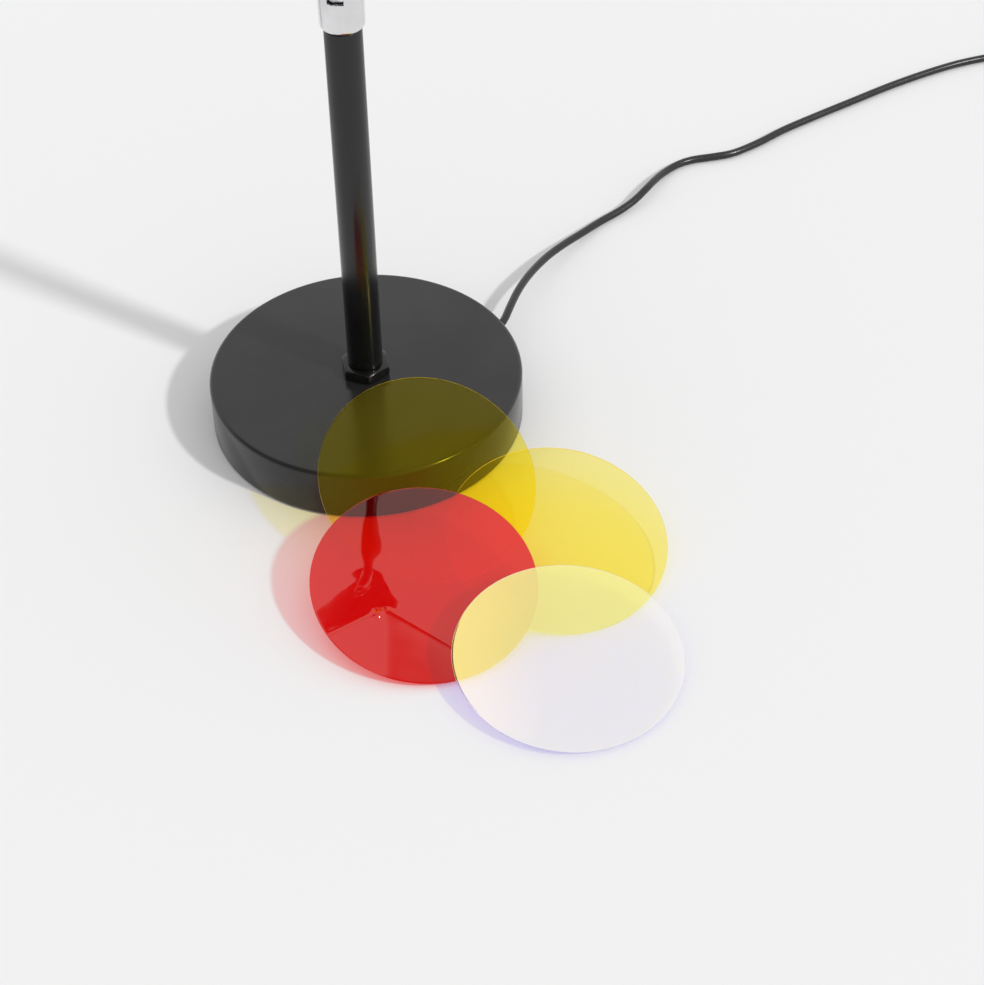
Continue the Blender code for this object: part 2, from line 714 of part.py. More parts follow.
def make_swivel(look, pan):
    edge = arc((yoke_radius - yoke_edge_radius, yoke_bottom + yoke_edge_radius), yoke_edge_radius, 0, -90)
    nipple_room_top = stem_top + top_nipple_reach + seat_gap
    yoke = turned("swivel_yoke", [
        (yoke_radius, yoke_top + overrun), *edge, (stem_bore, yoke_bottom), (stem_bore, nipple_room_top),
        (wire_bore, nipple_room_top), (wire_bore, yoke_top + overrun)], look["chrome"], middle_sides,
        parent=pan)

    # Side view of the cheeks: straight up to the pivot, then round about it
    cheek_radius = yoke_radius + cheek_margin
    cheek = [(-cheek_radius, yoke_bottom - overrun), (cheek_radius, yoke_bottom - overrun)]
    cheek += arc((0, pivot_height), cheek_radius, 0, 180, 7 * edge_points)
    upright = Matrix(((0, 0, 1, 0), (1, 0, 0, 0), (0, 1, 0, 0), (0, 0, 0, 1)))
    cheek_shape = as_cutter(outline("cheek_shape", [cheek], 2 * (yoke_radius + overrun), look["steel"], pan,
                                    upright))
    combine(yoke, cheek_shape, "INTERSECT")
    slot_top = yoke_top + 2 * overrun
    slot = as_cutter(block("yoke_slot", (yoke_slot_width, 2 * (yoke_radius + overrun), slot_top - yoke_floor),
                           look["steel"], pan, (0, 0, (slot_top + yoke_floor) / 2)))
    along_pivot = (0, math.pi / 2, 0)
    pivot_place = (0, 0, pivot_height)
    outside = yoke_radius + overrun
    pivot_hole = as_cutter(rod("pivot_hole", pivot_radius + seat_gap, -outside, outside, look["steel"],
                               small_sides, pan, pivot_place, along_pivot))
    seats = [as_cutter(rod("pivot_seat", pivot_seat_radius, low, high, look["steel"], small_sides, pan,
                           pivot_place, along_pivot))
             for low, high in ((pivot_seat, outside), (-outside, -pivot_seat))]
    cut(yoke, slot, pivot_hole, *seats)

    head_back = pivot_seat + seat_gap
    nut_front = -(pivot_seat + seat_gap)
    nut_back = nut_front - pivot_nut_height
    screw = turned("pivot_screw", [
        (0, head_back + pivot_head_height), (pivot_head_radius, head_back + pivot_head_height),
        (pivot_head_radius, head_back), (pivot_radius, head_back), (pivot_radius, nut_back), (0, nut_back)],
        look["steel"], small_sides, closed=False, parent=pan)
    screw.location = pivot_place
    screw.rotation_euler = along_pivot
    driver_slot = as_cutter(block("driver_slot", (2 * pivot_slot_depth, 2 * (pivot_head_radius + overrun),
                                                  pivot_slot_width), look["steel"], pan,
                                  (head_back + pivot_head_height, 0, pivot_height)))
    cut(screw, driver_slot)
    nut_corner = pivot_nut_across_flats / 2 * hexagon_corner_share
    nut = rod("pivot_nut", nut_corner, nut_back, nut_front, look["steel"], hexagon, pan, pivot_place,
              along_pivot)
    nut_hole = as_cutter(rod("pivot_nut_hole", pivot_radius + seat_gap, nut_back - overrun,
                             nut_front + overrun, look["steel"], small_sides, pan, pivot_place, along_pivot))
    cut(nut, nut_hole)


def make_tongue(look, tilt):
    # Measured from the pivot, which is the tilting pieces' origin
    shoulder = shoulder_height - pivot_height
    neck_end = neck_top - pivot_height
    stud_end = stud_top - pivot_height
    neck_edge = arc((yoke_radius - neck_edge_radius, neck_end - neck_edge_radius), neck_edge_radius, 90, 0)
    tongue = turned("swivel_tongue", [
        (0, stud_end), (stud_radius, stud_end), (stud_radius, neck_end), *neck_edge,
        (yoke_radius, shoulder), (0, shoulder)], look["chrome"], middle_sides, closed=False, parent=tilt)
    flat = arc((0, 0), tongue_end_radius, -180, 0, 5 * edge_points)
    flat += [(tongue_end_radius, shoulder + overrun), (-tongue_end_radius, shoulder + overrun)]
    upright = Matrix(((0, 0, 1, 0), (1, 0, 0, 0), (0, 1, 0, 0), (0, 0, 0, 1)))
    blade = as_cutter(outline("tongue_blade", [flat], tongue_thickness, look["chrome"], tilt, upright))
    combine(tongue, blade, "UNION")
    pivot_hole = as_cutter(rod("tongue_hole", pivot_radius + seat_gap, -tongue_thickness, tongue_thickness,
                               look["steel"], small_sides, tilt, rotation=(0, math.pi / 2, 0)))
    wire_hole = as_cutter(rod("tongue_wire_hole", tongue_bore, tongue_bore_end, stud_end + overrun,
                              look["steel"], screw_sides, tilt))
    cross_hole = as_cutter(rod("tongue_cross_hole", tongue_bore - cheek_margin, -tongue_end_radius - overrun,
                               0, look["steel"], screw_sides, tilt, (0, 0, tongue_bore_end + tongue_bore),
                               (math.pi / 2, 0, 0)))
    cut(tongue, wire_hole, cross_hole, pivot_hole)

    saddle_low = saddle_bottom - pivot_height
    saddle = turned("saddle_washer", ring_profile(saddle_radius, stud_radius + seat_gap, saddle_low,
                                                  saddle_low + 3 * saddle_thickness), look["black_plastic"],
                    small_sides, parent=tilt)
    can_room = as_cutter(rod("can_room", can_radius + seat_gap, -2 * saddle_radius, 2 * saddle_radius,
                             look["steel"], large_sides, tilt, (0, 0, head_height - pivot_height),
                             (math.pi / 2, 0, 0)))
    cut(saddle, can_room)

    wall_rise = can_bore - math.sqrt(can_bore ** 2 - stud_washer_radius ** 2)
    washer_low = head_height - pivot_height - can_bore + wall_rise + seat_gap
    washer_high = washer_low + stud_washer_thickness
    turned("stud_washer", ring_profile(stud_washer_radius, stud_radius + seat_gap, washer_low, washer_high),
           look["steel"], small_sides, parent=tilt)
    corner = stud_nut_across_flats / 2 * hexagon_corner_share
    nut_low = washer_high + seat_gap
    nut = rod("stud_nut", corner, nut_low, nut_low + stud_nut_height, look["steel"], hexagon, tilt)
    nut_hole = as_cutter(rod("stud_nut_hole", stud_radius + seat_gap, nut_low - overrun,
                             nut_low + stud_nut_height + overrun, look["steel"], small_sides, tilt))
    cut(nut, nut_hole)


def make_can(look, head):
    flange_back = can_front - can_flange_thickness
    flange_bore = can_radius - can_flange_width
    can = turned("head_housing", [
        (can_radius, can_front), (can_radius, can_back), (can_bore, can_back), (can_bore, flange_back),
        (flange_bore, flange_back), (flange_bore, can_front)], look["black_paint"], large_sides, parent=head)
    # The head's own minus Y is down
    stud_hole = as_cutter(rod("can_stud_hole", stud_radius + seat_gap, can_bore - 2 * overrun,
                              can_radius + overrun, look["steel"], small_sides, head,
                              rotation=(math.pi / 2, 0, 0)))
    cut(can, stud_hole)

    edge = arc((can_radius - cover_edge_radius, cover_back + cover_edge_radius), cover_edge_radius, 0, -90)
    cover = turned("rear_cover", [
        (0, cover_back + cover_wall), (spigot_bore, cover_back + cover_wall), (spigot_bore, spigot_end),
        (inner_fit_radius, spigot_end), (inner_fit_radius, cover_front), (can_radius, cover_front),
        *edge, (0, cover_back)], look["black_paint"], large_sides, closed=False, parent=head)
    vents = []
    for index in range(vent_count):
        vent = block("vent", (vent_length, vent_width, 3 * cover_wall), look["steel"], head,
                     (can_radius * vent_ring_share, 0, cover_back + cover_wall / 2))
        vent.rotation_euler = (0, 0, 2 * math.pi * index / vent_count)
        vents.append(as_cutter(vent))
    cut(cover, *vents)

    sink = turned("heat_sink", [
        (0, boss_front), (sink_boss_radius, boss_front), (sink_boss_radius, sink_front),
        (inner_fit_radius, sink_front), (inner_fit_radius, sink_back), (sink_fin_radius, sink_back),
        (sink_fin_radius, sink_back - sink_fin_length), (0, sink_back - sink_fin_length)],
        look["aluminium"], middle_sides, closed=False, parent=head)
    for index in range(sink_slot_count):
        shift = (index - (sink_slot_count - 1) / 2) * sink_slot_step
        slot_size = (sink_slot_width, 2 * (sink_fin_radius + overrun), sink_fin_length)
        slot = as_cutter(block("sink_slot", slot_size, look["steel"], head,
                               (shift, 0, sink_back - overrun - sink_fin_length / 2)))
        cut(sink, slot)

    for index in range(cover_screw_count):
        angle = math.pi / 2 + 2 * math.pi * index / cover_screw_count
        spot = around(can_radius * cover_screw_ring_share, angle)
        head_high = cover_back - seat_gap
        head_low = head_high - cover_screw_head_height
        shank_high = sink_front - seat_gap
        turned(f"rear_screw_{index + 1}", [
            (0, shank_high), (cover_screw_radius, shank_high), (cover_screw_radius, head_high),
            (cover_screw_head_radius, head_high), (cover_screw_head_radius, head_low), (0, head_low)],
            look["steel"], screw_sides, closed=False, parent=head, location=spot)
        hole = as_cutter(rod("cover_screw_hole", cover_screw_radius + seat_gap, head_low,
                             sink_front + overrun, look["steel"], screw_sides, head, spot))
        cut(cover, hole)
        cut(sink, hole)


def make_optics(look, head):
    turned("led_board", disc_profile(board_radius, board_back, board_front), look["board_white"],
           middle_sides, closed=False, parent=head)
    turned("led_emitter", disc_profile(emitter_radius, emitter_back, emitter_back + emitter_height),
           look["phosphor"], small_sides, closed=False, parent=head)
    turned("reflector", [
        (inner_fit_radius, reflector_front), (inner_fit_radius, reflector_front - reflector_wall),
        (reflector_large_radius + reflector_wall, reflector_front - reflector_wall),
        (reflector_small_radius + reflector_wall, reflector_back), (reflector_small_radius, reflector_back),
        (reflector_large_radius, reflector_front)], look["mirror_cup"], middle_sides, parent=head)
    lip_radius = lens_radius - holder_lip_width
    lip_front = holder_back + holder_lip_thickness
    turned("lens_holder", [
        (inner_fit_radius, holder_front), (inner_fit_radius, holder_back), (lip_radius, holder_back),
        (lip_radius, lip_front), (lens_seat_radius, lip_front), (lens_seat_radius, holder_front)],
        look["black_plastic"], middle_sides, parent=head)
    # The lens is flat behind and a slice of a ball in front
    ball_radius = (lens_cap_radius ** 2 + lens_cap_height ** 2) / (2 * lens_cap_height)
    ball_centre = lens_edge_front + lens_cap_height - ball_radius
    cap_angle = math.degrees(math.acos(lens_cap_radius / ball_radius))
    turned("lens", [
        *arc((0, ball_centre), ball_radius, 90, cap_angle, lens_cap_points),
        (lens_radius, lens_edge_front), (lens_radius, lens_back), (0, lens_back)],
        look["lens_clear"], middle_sides, closed=False, parent=head)
    lens_ring_front = lens_ring_back + lens_ring_thickness
    turned("lens_ring", ring_profile(inner_fit_radius, lens_cap_radius + seat_gap, lens_ring_back,
                                     lens_ring_front), look["black_plastic"], middle_sides, parent=head)
    # The head's lead rises from the stud to the edge of the board
    stud_end = head_height - stud_top
    board_place = board_radius - overrun - head_lead_radius
    wire_front = board_front + seat_gap + head_lead_radius
    route = [(0, -stud_end + seat_gap, 0), (0, -stud_end + 4 * head_lead_radius, -head_lead_radius),
             (0, -(stud_end + board_place) / 2, wire_front / 2),
             (0, -board_place - head_lead_radius, wire_front), (0, -board_place, wire_front)]
    points, length = smooth_route(route, 4 * head_lead_radius)
    tube("head_lead", points, head_lead_radius, look["black_pvc"], parent=head)
    print("head lead length", round(length, 4))


def make_filter_ring(look, head):
    edge = arc((ring_radius - ring_edge_radius, ring_front - ring_edge_radius), ring_edge_radius, 90, 0)
    turned("filter_ring", [
        *edge, (ring_radius, ring_back), (ring_bore, ring_back), (ring_bore, ring_step),
        (film_bore, ring_step), (film_bore, ring_lip_back), (ring_mouth, ring_lip_back),
        (ring_mouth, ring_front)],
        look["black_paint"], large_sides, parent=head)


class RestingFilm:
    # A thin round film as a plane: its middle, the level line of its slope and its tilt

    def __init__(self, x, y, bearing, tilt):
        self.x = x
        self.y = y
        self.down = Vector((math.cos(bearing), math.sin(bearing)))
        self.tilt = tilt
        self.height = table_gap + film_radius * math.sin(tilt) + film_thickness / 2 * math.cos(tilt)

    def middle_height(self, x, y):
        return self.height - (Vector((x - self.x, y - self.y)) @ self.down) * math.tan(self.tilt)

    def underside(self, x, y):
        return self.middle_height(x, y) - film_thickness / 2 / math.cos(self.tilt)

    def top(self, x, y):
        return self.middle_height(x, y) + film_thickness / 2 / math.cos(self.tilt)

    def covers(self, x, y):
        offset = Vector((x - self.x, y - self.y))
        along = (offset @ self.down) / math.cos(self.tilt)
        across = offset.x * self.down.y - offset.y * self.down.x
        return along ** 2 + across ** 2 <= film_radius ** 2

    def rim(self):
        made = []
        for index in range(film_rim_points):
            angle = 2 * math.pi * index / film_rim_points
            along = film_radius * math.cos(angle) * math.cos(self.tilt)
            across = film_radius * math.sin(angle)
            made.append((self.x + along * self.down.x + across * self.down.y,
                         self.y + along * self.down.y - across * self.down.x))
        return made


class BaseTop:
    # The base's flat top, which the first film leans on

    def top(self, x, y):
        return base_height

    def covers(self, x, y):
        return math.hypot(x, y) <= base_radius

    def rim(self):
        turn = 2 * math.pi / film_rim_points
        return [tuple(around(base_radius, turn * index).xy) for index in range(film_rim_points)]


def least_gap(film, below):
    # Least height between a film's underside and one surface below it, where they overlap seen from above
    spots = [spot for spot in film.rim() if below.covers(*spot)]
    spots += [spot for spot in below.rim() if film.covers(*spot)]
    return min((film.underside(*spot) - below.top(*spot) for spot in spots), default=math.inf)


def rest_film(x, y, bearing, tilt, surfaces):
    # As low as it goes without touching what is below it
    film = RestingFilm(x, y, bearing, tilt)
    film.height += max(0, seat_gap - min(least_gap(film, below) for below in surfaces))
    return film


def make_films(look):
    surfaces = [BaseTop()]
    finishes = {"film_yellow_1": "film_yellow", "film_yellow_2": "film_yellow", "film_red": "film_red",
                "film_dichroic": "film_pale"}
    first_middle = around(base_radius + film_radius * first_film_share, first_film_turn)
    for name, (x_share, y_share, slope_share, bearing) in film_place_shares.items():
        middle = first_middle + film_radius * Vector((x_share, y_share, 0))
        tilt = math.atan(slope_share * base_height / film_radius)
        film = rest_film(middle.x, middle.y, bearing, tilt, surfaces)
        surfaces.append(film)
        thing = rod(name, film_radius, -film_thickness / 2, film_thickness / 2, look[finishes[name]],
                    film_sides)
        lean = Matrix.Rotation(film.tilt, 4, Vector((-film.down.y, film.down.x, 0)))
        thing.matrix_world = Matrix.Translation((film.x, film.y, film.height)) @ lean
        lowest = film.height - film_radius * math.sin(film.tilt) - film_thickness / 2 * math.cos(film.tilt)
        print(name, "middle", [round(value, 5) for value in (film.x, film.y, film.height)],
              "tilt", round(math.degrees(film.tilt), 3), "lowest edge", round(lowest, 5))


def rounded_outline(length, width, radius):
    corners = ((1, 1, 0), (-1, 1, 90), (-1, -1, 180), (1, -1, 270))
    made = []
    for side_x, side_y, start in corners:
        centre = (side_x * (length / 2 - radius), side_y * (width / 2 - radius))
        made += arc(centre, radius, start, start + 90)
    return made


def make_switch(look):
    nose_end = switch_start.x
    body_start = nose_end + seat_gap + switch_nose_length
    middle = Vector((body_start + switch_length / 2, switch_start.y, 0))
    half_height = (switch_height - seat_gap) / 2
    shape = [rounded_outline(switch_length, switch_width, switch_edge_radius)]
    lower = outline("switch_base", shape, half_height, look["black_plastic"],
                    matrix=Matrix.Translation(middle + Vector((0, 0, half_height / 2))))
    upper_middle = switch_height - half_height / 2
    upper = outline("switch_cover", shape, half_height, look["black_plastic"],
                    matrix=Matrix.Translation(middle + Vector((0, 0, upper_middle))))
    # The lead's two noses belong to the lower half
    for side in (-1, 1):
        nose = as_cutter(turned("switch_nose", [
            (0, switch_nose_length), (lead_radius + tiny_bevel, switch_nose_length), (switch_nose_radius, 0),
            (switch_nose_radius, -overrun), (0, -overrun)], look["black_plastic"], small_sides, closed=False))
        nose.location = middle + Vector((side * switch_length / 2, 0, switch_start.z))
        nose.rotation_euler = (0, side * math.pi / 2, 0)
        combine(lower, nose, "UNION")
    pocket_size = (switch_pocket_length, switch_pocket_width, 2 * switch_pocket_depth)
    pocket = as_cutter(block("switch_pocket", pocket_size, look["steel"],
                             centre=middle + Vector((0, 0, half_height))))
    cut(lower, pocket)
    pocket_floor = half_height - switch_pocket_depth
    block("switch_block", (switch_pocket_length - 2 * seat_gap, switch_pocket_width - 2 * seat_gap,
                           switch_pocket_depth - 2 * seat_gap), look["board_white"],
          centre=middle + Vector((0, 0, pocket_floor + switch_pocket_depth / 2)))
    button_hole = as_cutter(rod("button_hole", button_radius + seat_gap, half_height, switch_height + overrun,
                                look["steel"], location=middle))
    cut(upper, button_hole)
    button_top = switch_height + button_proud
    button = turned("switch_button", [
        (0, button_top), *arc((button_radius - tiny_bevel, button_top - tiny_bevel), tiny_bevel, 90, 0, 2),
        (button_radius, button_top - button_height), (0, button_top - button_height)],
        look["black_plastic"], small_sides, closed=False)
    button.location = middle
    return middle


def coil_route():
    # Radius falls and rises with each layer; the height climbs in the half turn where the spiral reverses
    turns_a_layer = coil_turns / coil_layers
    start = math.pi / 2
    made = []
    count = round(coil_turns * coil_points_a_turn)
    for index in range(count + 1):
        turned_by = coil_turns * index / count
        layer = min(int(turned_by / turns_a_layer), coil_layers - 1)
        within = turned_by - layer * turns_a_layer
        inward = within if layer % 2 == 0 else turns_a_layer - within
        radius = coil_outer_radius - inward * coil_pitch
        climb = 0.0
        if layer < coil_layers - 1 and within > turns_a_layer - coil_climb_share:
            climb = (within - (turns_a_layer - coil_climb_share)) / (2 * coil_climb_share)
        if layer > 0 and within < coil_climb_share:
            climb = (within - coil_climb_share) / (2 * coil_climb_share)
        angle = start - 2 * math.pi * turned_by
        height = coil_bottom + (layer + climb) * coil_pitch
        made.append(Vector((coil_centre[0], coil_centre[1], 0)) + around(radius, angle, height))
    return made


def least_self_gap(points, apart):
    least = math.inf
    for index, point in enumerate(points):
        for other in points[index + apart:]:
            least = min(least, (point - other).length)
    return least - 2 * lead_radius


def make_coil(look, switch_middle):
    coil = coil_route()
    straight = 2 * lead_radius
    entry_direction = Vector((1, 0, 0))
    exit_direction = (coil[-1] - coil[-2]).normalized()
    exit_direction.z = 0
    ends = [coil[0] - entry_direction * straight] + coil + [coil[-1] + exit_direction * straight]
    tube("cord_coil", ends, lead_radius, look["black_pvc"], sides_step=1)
    least_gap = least_self_gap(coil, round(coil_points_a_turn / 2))
    print("coil least gap to itself", round(least_gap * 1000, 3), "mm")

    nose_reach = switch_length / 2 + switch_nose_length + seat_gap
    link_start = switch_middle + Vector((nose_reach, 0, switch_start.z))
    link_end = ends[0] - entry_direction * seat_gap
    span = link_end - link_start
    link = [link_start]
    for run_share, drop_share in link_shares:
        link.append(link_start + Vector((span.x * run_share, span.y * run_share, span.z * drop_share)))
    link.append(link_end)
    points, link_length = smooth_route(link, route_step)
    tube("cord_link", points, lead_radius, look["black_pvc"])

    # The tail leaves the top of the coil, comes down beside it and ends in the plug on the table
    plug_axis = plug_height / 2
    tail_start = ends[-1] + exit_direction * seat_gap
    floor = lead_radius + table_gap
    tail = [tail_start]
    for run_share, height_share in tail_shares:
        spot = tail_start + exit_direction * (plug_tail_straight + plug_tail_drop) * run_share
        spot.z = floor + (tail_start.z - floor) * height_share
        tail.append(spot)
    tail_end = tail_start + exit_direction * (plug_tail_straight + plug_tail_drop + 2 * plug_tail_straight)
    tail.append(tail_start + exit_direction * (plug_tail_straight + plug_tail_drop))
    tail[-1].z = floor
    before_plug = tail_end - exit_direction * plug_tail_straight / 2
    before_plug.z = (floor + 2 * plug_axis) / 3
    tail_end.z = plug_axis
    tail += [before_plug, tail_end]
    points, tail_length = smooth_route(tail, route_step)
    tube("cord_tail", points, lead_radius, look["black_pvc"])
    coil_length = sum((second - first).length for first, second in zip(ends, ends[1:]))
    print("lead from the switch to the plug", round(link_length + coil_length + tail_length, 4))
    return points[-1], exit_direction


def make_tie(look):
    turns_a_layer = coil_turns / coil_layers
    inner = coil_outer_radius - turns_a_layer * coil_pitch - lead_radius - tie_gap
    outer = coil_outer_radius + lead_radius + tie_gap
    low = tie_thickness
    high = coil_bottom + (coil_layers - 1) * coil_pitch + lead_radius + tie_gap
    hole = rounded_outline(outer - inner, high - low, lead_radius)
    band = rounded_outline(outer - inner + 2 * tie_thickness, high - low + 2 * tie_thickness,
                           lead_radius + tie_thickness)
    middle = Vector((coil_centre[0], coil_centre[1], 0))
    middle += around((inner + outer) / 2, tie_turn, (low + high) / 2)
    stand = Matrix(((1, 0, 0, 0), (0, 0, -1, 0), (0, 1, 0, 0), (0, 0, 0, 1)))
    turn = Matrix.Rotation(tie_turn, 4, "Z")
    outline("cord_tie", [band, hole], tie_width, look["black_pvc"],
            matrix=Matrix.Translation(middle) @ turn @ stand)


def make_plug(look, lead_end, direction):
    heading = math.atan2(direction.y, direction.x)
    spot = lead_end + direction * seat_gap
    pose = Matrix.Translation(spot) @ Matrix.Rotation(heading, 4, "Z")
    body_start = plug_nose_length
    body_middle = body_start + plug_length / 2
    body = block("plug_body", (plug_length, plug_width, plug_height), look["black_plastic"],
                 centre=(body_middle, 0, 0))
    body.matrix_world = pose
    bevel(body, plug_edge_radius)
    nose = as_cutter(turned("plug_nose", [
        (0, plug_nose_length), (lead_radius + tiny_bevel, plug_nose_length), (plug_nose_radius, 0),
        (plug_nose_radius, -overrun), (0, -overrun)], look["black_plastic"], small_sides, closed=False))
    nose.matrix_world = pose @ Matrix.Translation((body_start, 0, 0)) @ Matrix.Rotation(-math.pi / 2, 4, "Y")
    combine(body, nose, "UNION")
    mouth_start = body_start + plug_length - plug_shell_root
    shell_end = body_start + plug_length + plug_shell_length
    shell_length = shell_end - mouth_start
    socket = as_cutter(block("plug_socket", (plug_shell_root + overrun, plug_shell_width + 2 * seat_gap,
                                             plug_shell_height + 2 * seat_gap), look["steel"],
                             centre=(mouth_start - seat_gap / 2 + (plug_shell_root + overrun) / 2, 0, 0)))
    socket.matrix_world = pose
    cut(body, socket)
    shell = block("plug_shell", (shell_length, plug_shell_width, plug_shell_height), look["steel"],
                  centre=(mouth_start + shell_length / 2, 0, 0))
    shell.matrix_world = pose
    bore_size = (shell_length + 2 * overrun, plug_shell_width - 2 * plug_shell_wall,
                 plug_shell_height - 2 * plug_shell_wall)
    bore = as_cutter(block("plug_shell_bore", bore_size, look["steel"],
                           centre=(mouth_start + shell_length / 2, 0, 0)))
    bore.matrix_world = pose
    cut(shell, bore)
    room = plug_shell_height - 2 * plug_shell_wall
    tongue_length = shell_length - 2 * overrun
    tongue_height = -room / 2 + seat_gap + plug_tongue_thickness / 2
    tongue = block("plug_tongue", (tongue_length, plug_shell_width - 2 * plug_shell_wall - 2 * seat_gap,
                                   plug_tongue_thickness), look["board_white"],
                   centre=(mouth_start + tongue_length / 2, 0, tongue_height))
    tongue.matrix_world = pose


def main():
    start_clean()
    look = looks()
    pan = bpy.data.objects.new("pan_axis", None)
    tilt = bpy.data.objects.new("tilt_axis", None)
    head = bpy.data.objects.new("head_axis", None)
    for empty in (pan, tilt, head):
        collections["sunset_lamp"].objects.link(empty)
    pan.rotation_euler = (0, 0, pan_rest)
    tilt.parent = pan
    tilt.location = (0, 0, pivot_height)
    head.parent = tilt
    head.location = (0, 0, head_height - pivot_height)
    head.rotation_euler = (math.pi / 2, 0, 0)
    bpy.context.view_layer.update()

    weight = make_base(look)
    make_stem(look)
    make_lead_exit(look, weight)
    make_swivel(look, pan)
    make_tongue(look, tilt)
    make_can(look, head)
    make_optics(look, head)
    make_filter_ring(look, head)
    make_films(look)
    points, length = smooth_route(run_route, route_step)
    points.insert(1, points[0] + around(lead_radius, exit_turn, 0))
    tube("cord_run", points, lead_radius, look["black_pvc"])
    print("lead from the base to the switch", round(length, 4))
    switch_middle = make_switch(look)
    lead_end, direction = make_coil(look, switch_middle)
    make_tie(look)
    make_plug(look, lead_end, direction)
    print("pivot height", round(pivot_height, 5), "head height", round(head_height, 5))


main()
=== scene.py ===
import math

import bpy
from mathutils import Matrix, Vector


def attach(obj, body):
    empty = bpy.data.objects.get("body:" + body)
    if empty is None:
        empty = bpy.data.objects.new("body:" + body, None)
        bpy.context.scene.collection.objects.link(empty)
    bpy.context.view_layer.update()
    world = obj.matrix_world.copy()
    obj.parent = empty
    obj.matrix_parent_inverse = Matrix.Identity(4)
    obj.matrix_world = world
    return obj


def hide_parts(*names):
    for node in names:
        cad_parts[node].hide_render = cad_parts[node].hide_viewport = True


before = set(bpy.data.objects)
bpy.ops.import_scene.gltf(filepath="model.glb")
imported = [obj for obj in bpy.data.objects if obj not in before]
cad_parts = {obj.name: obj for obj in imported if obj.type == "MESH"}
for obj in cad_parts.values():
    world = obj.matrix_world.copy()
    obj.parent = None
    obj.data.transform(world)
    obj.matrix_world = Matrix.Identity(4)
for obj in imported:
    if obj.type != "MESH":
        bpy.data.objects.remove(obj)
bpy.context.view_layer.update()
mm = 0.001
past = 1 * mm    # a cutting shape reaches this far past the piece
mergeDistance = 0.005 * mm
quarterX = Matrix.Rotation(math.pi / 2, 4, "X")
quarterY = Matrix.Rotation(math.pi / 2, 4, "Y")
scene = bpy.context.scene
scene.view_settings.view_transform = "Standard"
scene.cycles.transparent_max_bounces = 32


def scaled(size):
    return size * mm if isinstance(size, (int, float)) else [scaled(part) for part in size]


def inMm(**sizes):
    # Settings whose sizes are written in millimetres
    return {name: scaled(size) for name, size in sizes.items()}


# Shared tools for node trees

def setInputs(tree, node, values):
    # Each value is a number, a colour or the outcome of another node
    for name, value in values.items():
        if isinstance(value, bpy.types.NodeSocket):
            tree.links.new(value, node.inputs[name])
        else:
            node.inputs[name].default_value = value


def addNode(tree, kind, values, **options):
    node = tree.nodes.new(kind)
    for name, value in options.items():
        setattr(node, name, value)
    setInputs(tree, node, values)
    return node


def addMath(tree, operation, *values):
    return addNode(tree, "ShaderNodeMath", dict(enumerate(values)), operation=operation).outputs[0]


def mapRange(tree, value, low, high, fromLow=0.3, fromHigh=0.7):
    return addNode(tree, "ShaderNodeMapRange", {
        "Value": value, "From Min": fromLow, "From Max": fromHigh, "To Min": low, "To Max": high,
    }).outputs["Result"]


def mixShaders(tree, share, first, second):
    return addNode(tree, "ShaderNodeMixShader", {0: share, 1: first, 2: second}).outputs[0]


# Camera, lamp, world and table

cameraSettings = {
    "place": (46.61 * mm, -678.54 * mm, 600.15 * mm),
    "downwardTilt": math.radians(43.567),
    "roll": math.radians(-1.182),
    "lens": 84.87,
    "sensor": 36.0,
    "shiftX": 0.002,
    "reach": (0.01, 20),
}


def makeCamera(settings):
    data = bpy.data.cameras.new("tableCamera")
    data.lens = settings["lens"]
    data.sensor_width = settings["sensor"]
    data.shift_x = settings["shiftX"]
    data.clip_start, data.clip_end = settings["reach"]
    tilt, roll = settings["downwardTilt"], settings["roll"]
    forward = Vector((0, math.cos(tilt), -math.sin(tilt)))
    levelRight = Vector((1, 0, 0))
    levelUp = Vector((0, math.sin(tilt), math.cos(tilt)))
    right = math.cos(roll) * levelRight + math.sin(roll) * levelUp
    up = -math.sin(roll) * levelRight + math.cos(roll) * levelUp
    camera = bpy.data.objects.new("tableCamera", data)
    scene.collection.objects.link(camera)
    turn = Matrix((right, up, -forward)).transposed().to_4x4()
    camera.matrix_world = Matrix.Translation(settings["place"]) @ turn
    scene.camera = camera


lightSettings = {
    "towardsLamp": (0.645, -0.403, 0.649),    # front right, about 40 degrees up
    "lampStrength": 1.40,
    "lampAngle": math.radians(4),
    "skyForLighting": 0.71,
    "skySeen": 1.0,
    "roomSide": (-0.612, -0.5, 0.612),    # the darker side of the room, seen in gloss only
    "roomDark": 0.9,
    "roomReach": (0.55, 0.8),
}


def makeLight(settings):
    data = bpy.data.lights.new("studioLamp", "SUN")
    data.energy = settings["lampStrength"]
    data.angle = settings["lampAngle"]
    lamp = bpy.data.objects.new("studioLamp", data)
    scene.collection.objects.link(lamp)
    lamp.rotation_mode = "QUATERNION"
    lamp.rotation_quaternion = Vector(settings["towardsLamp"]).to_track_quat("Z", "Y")


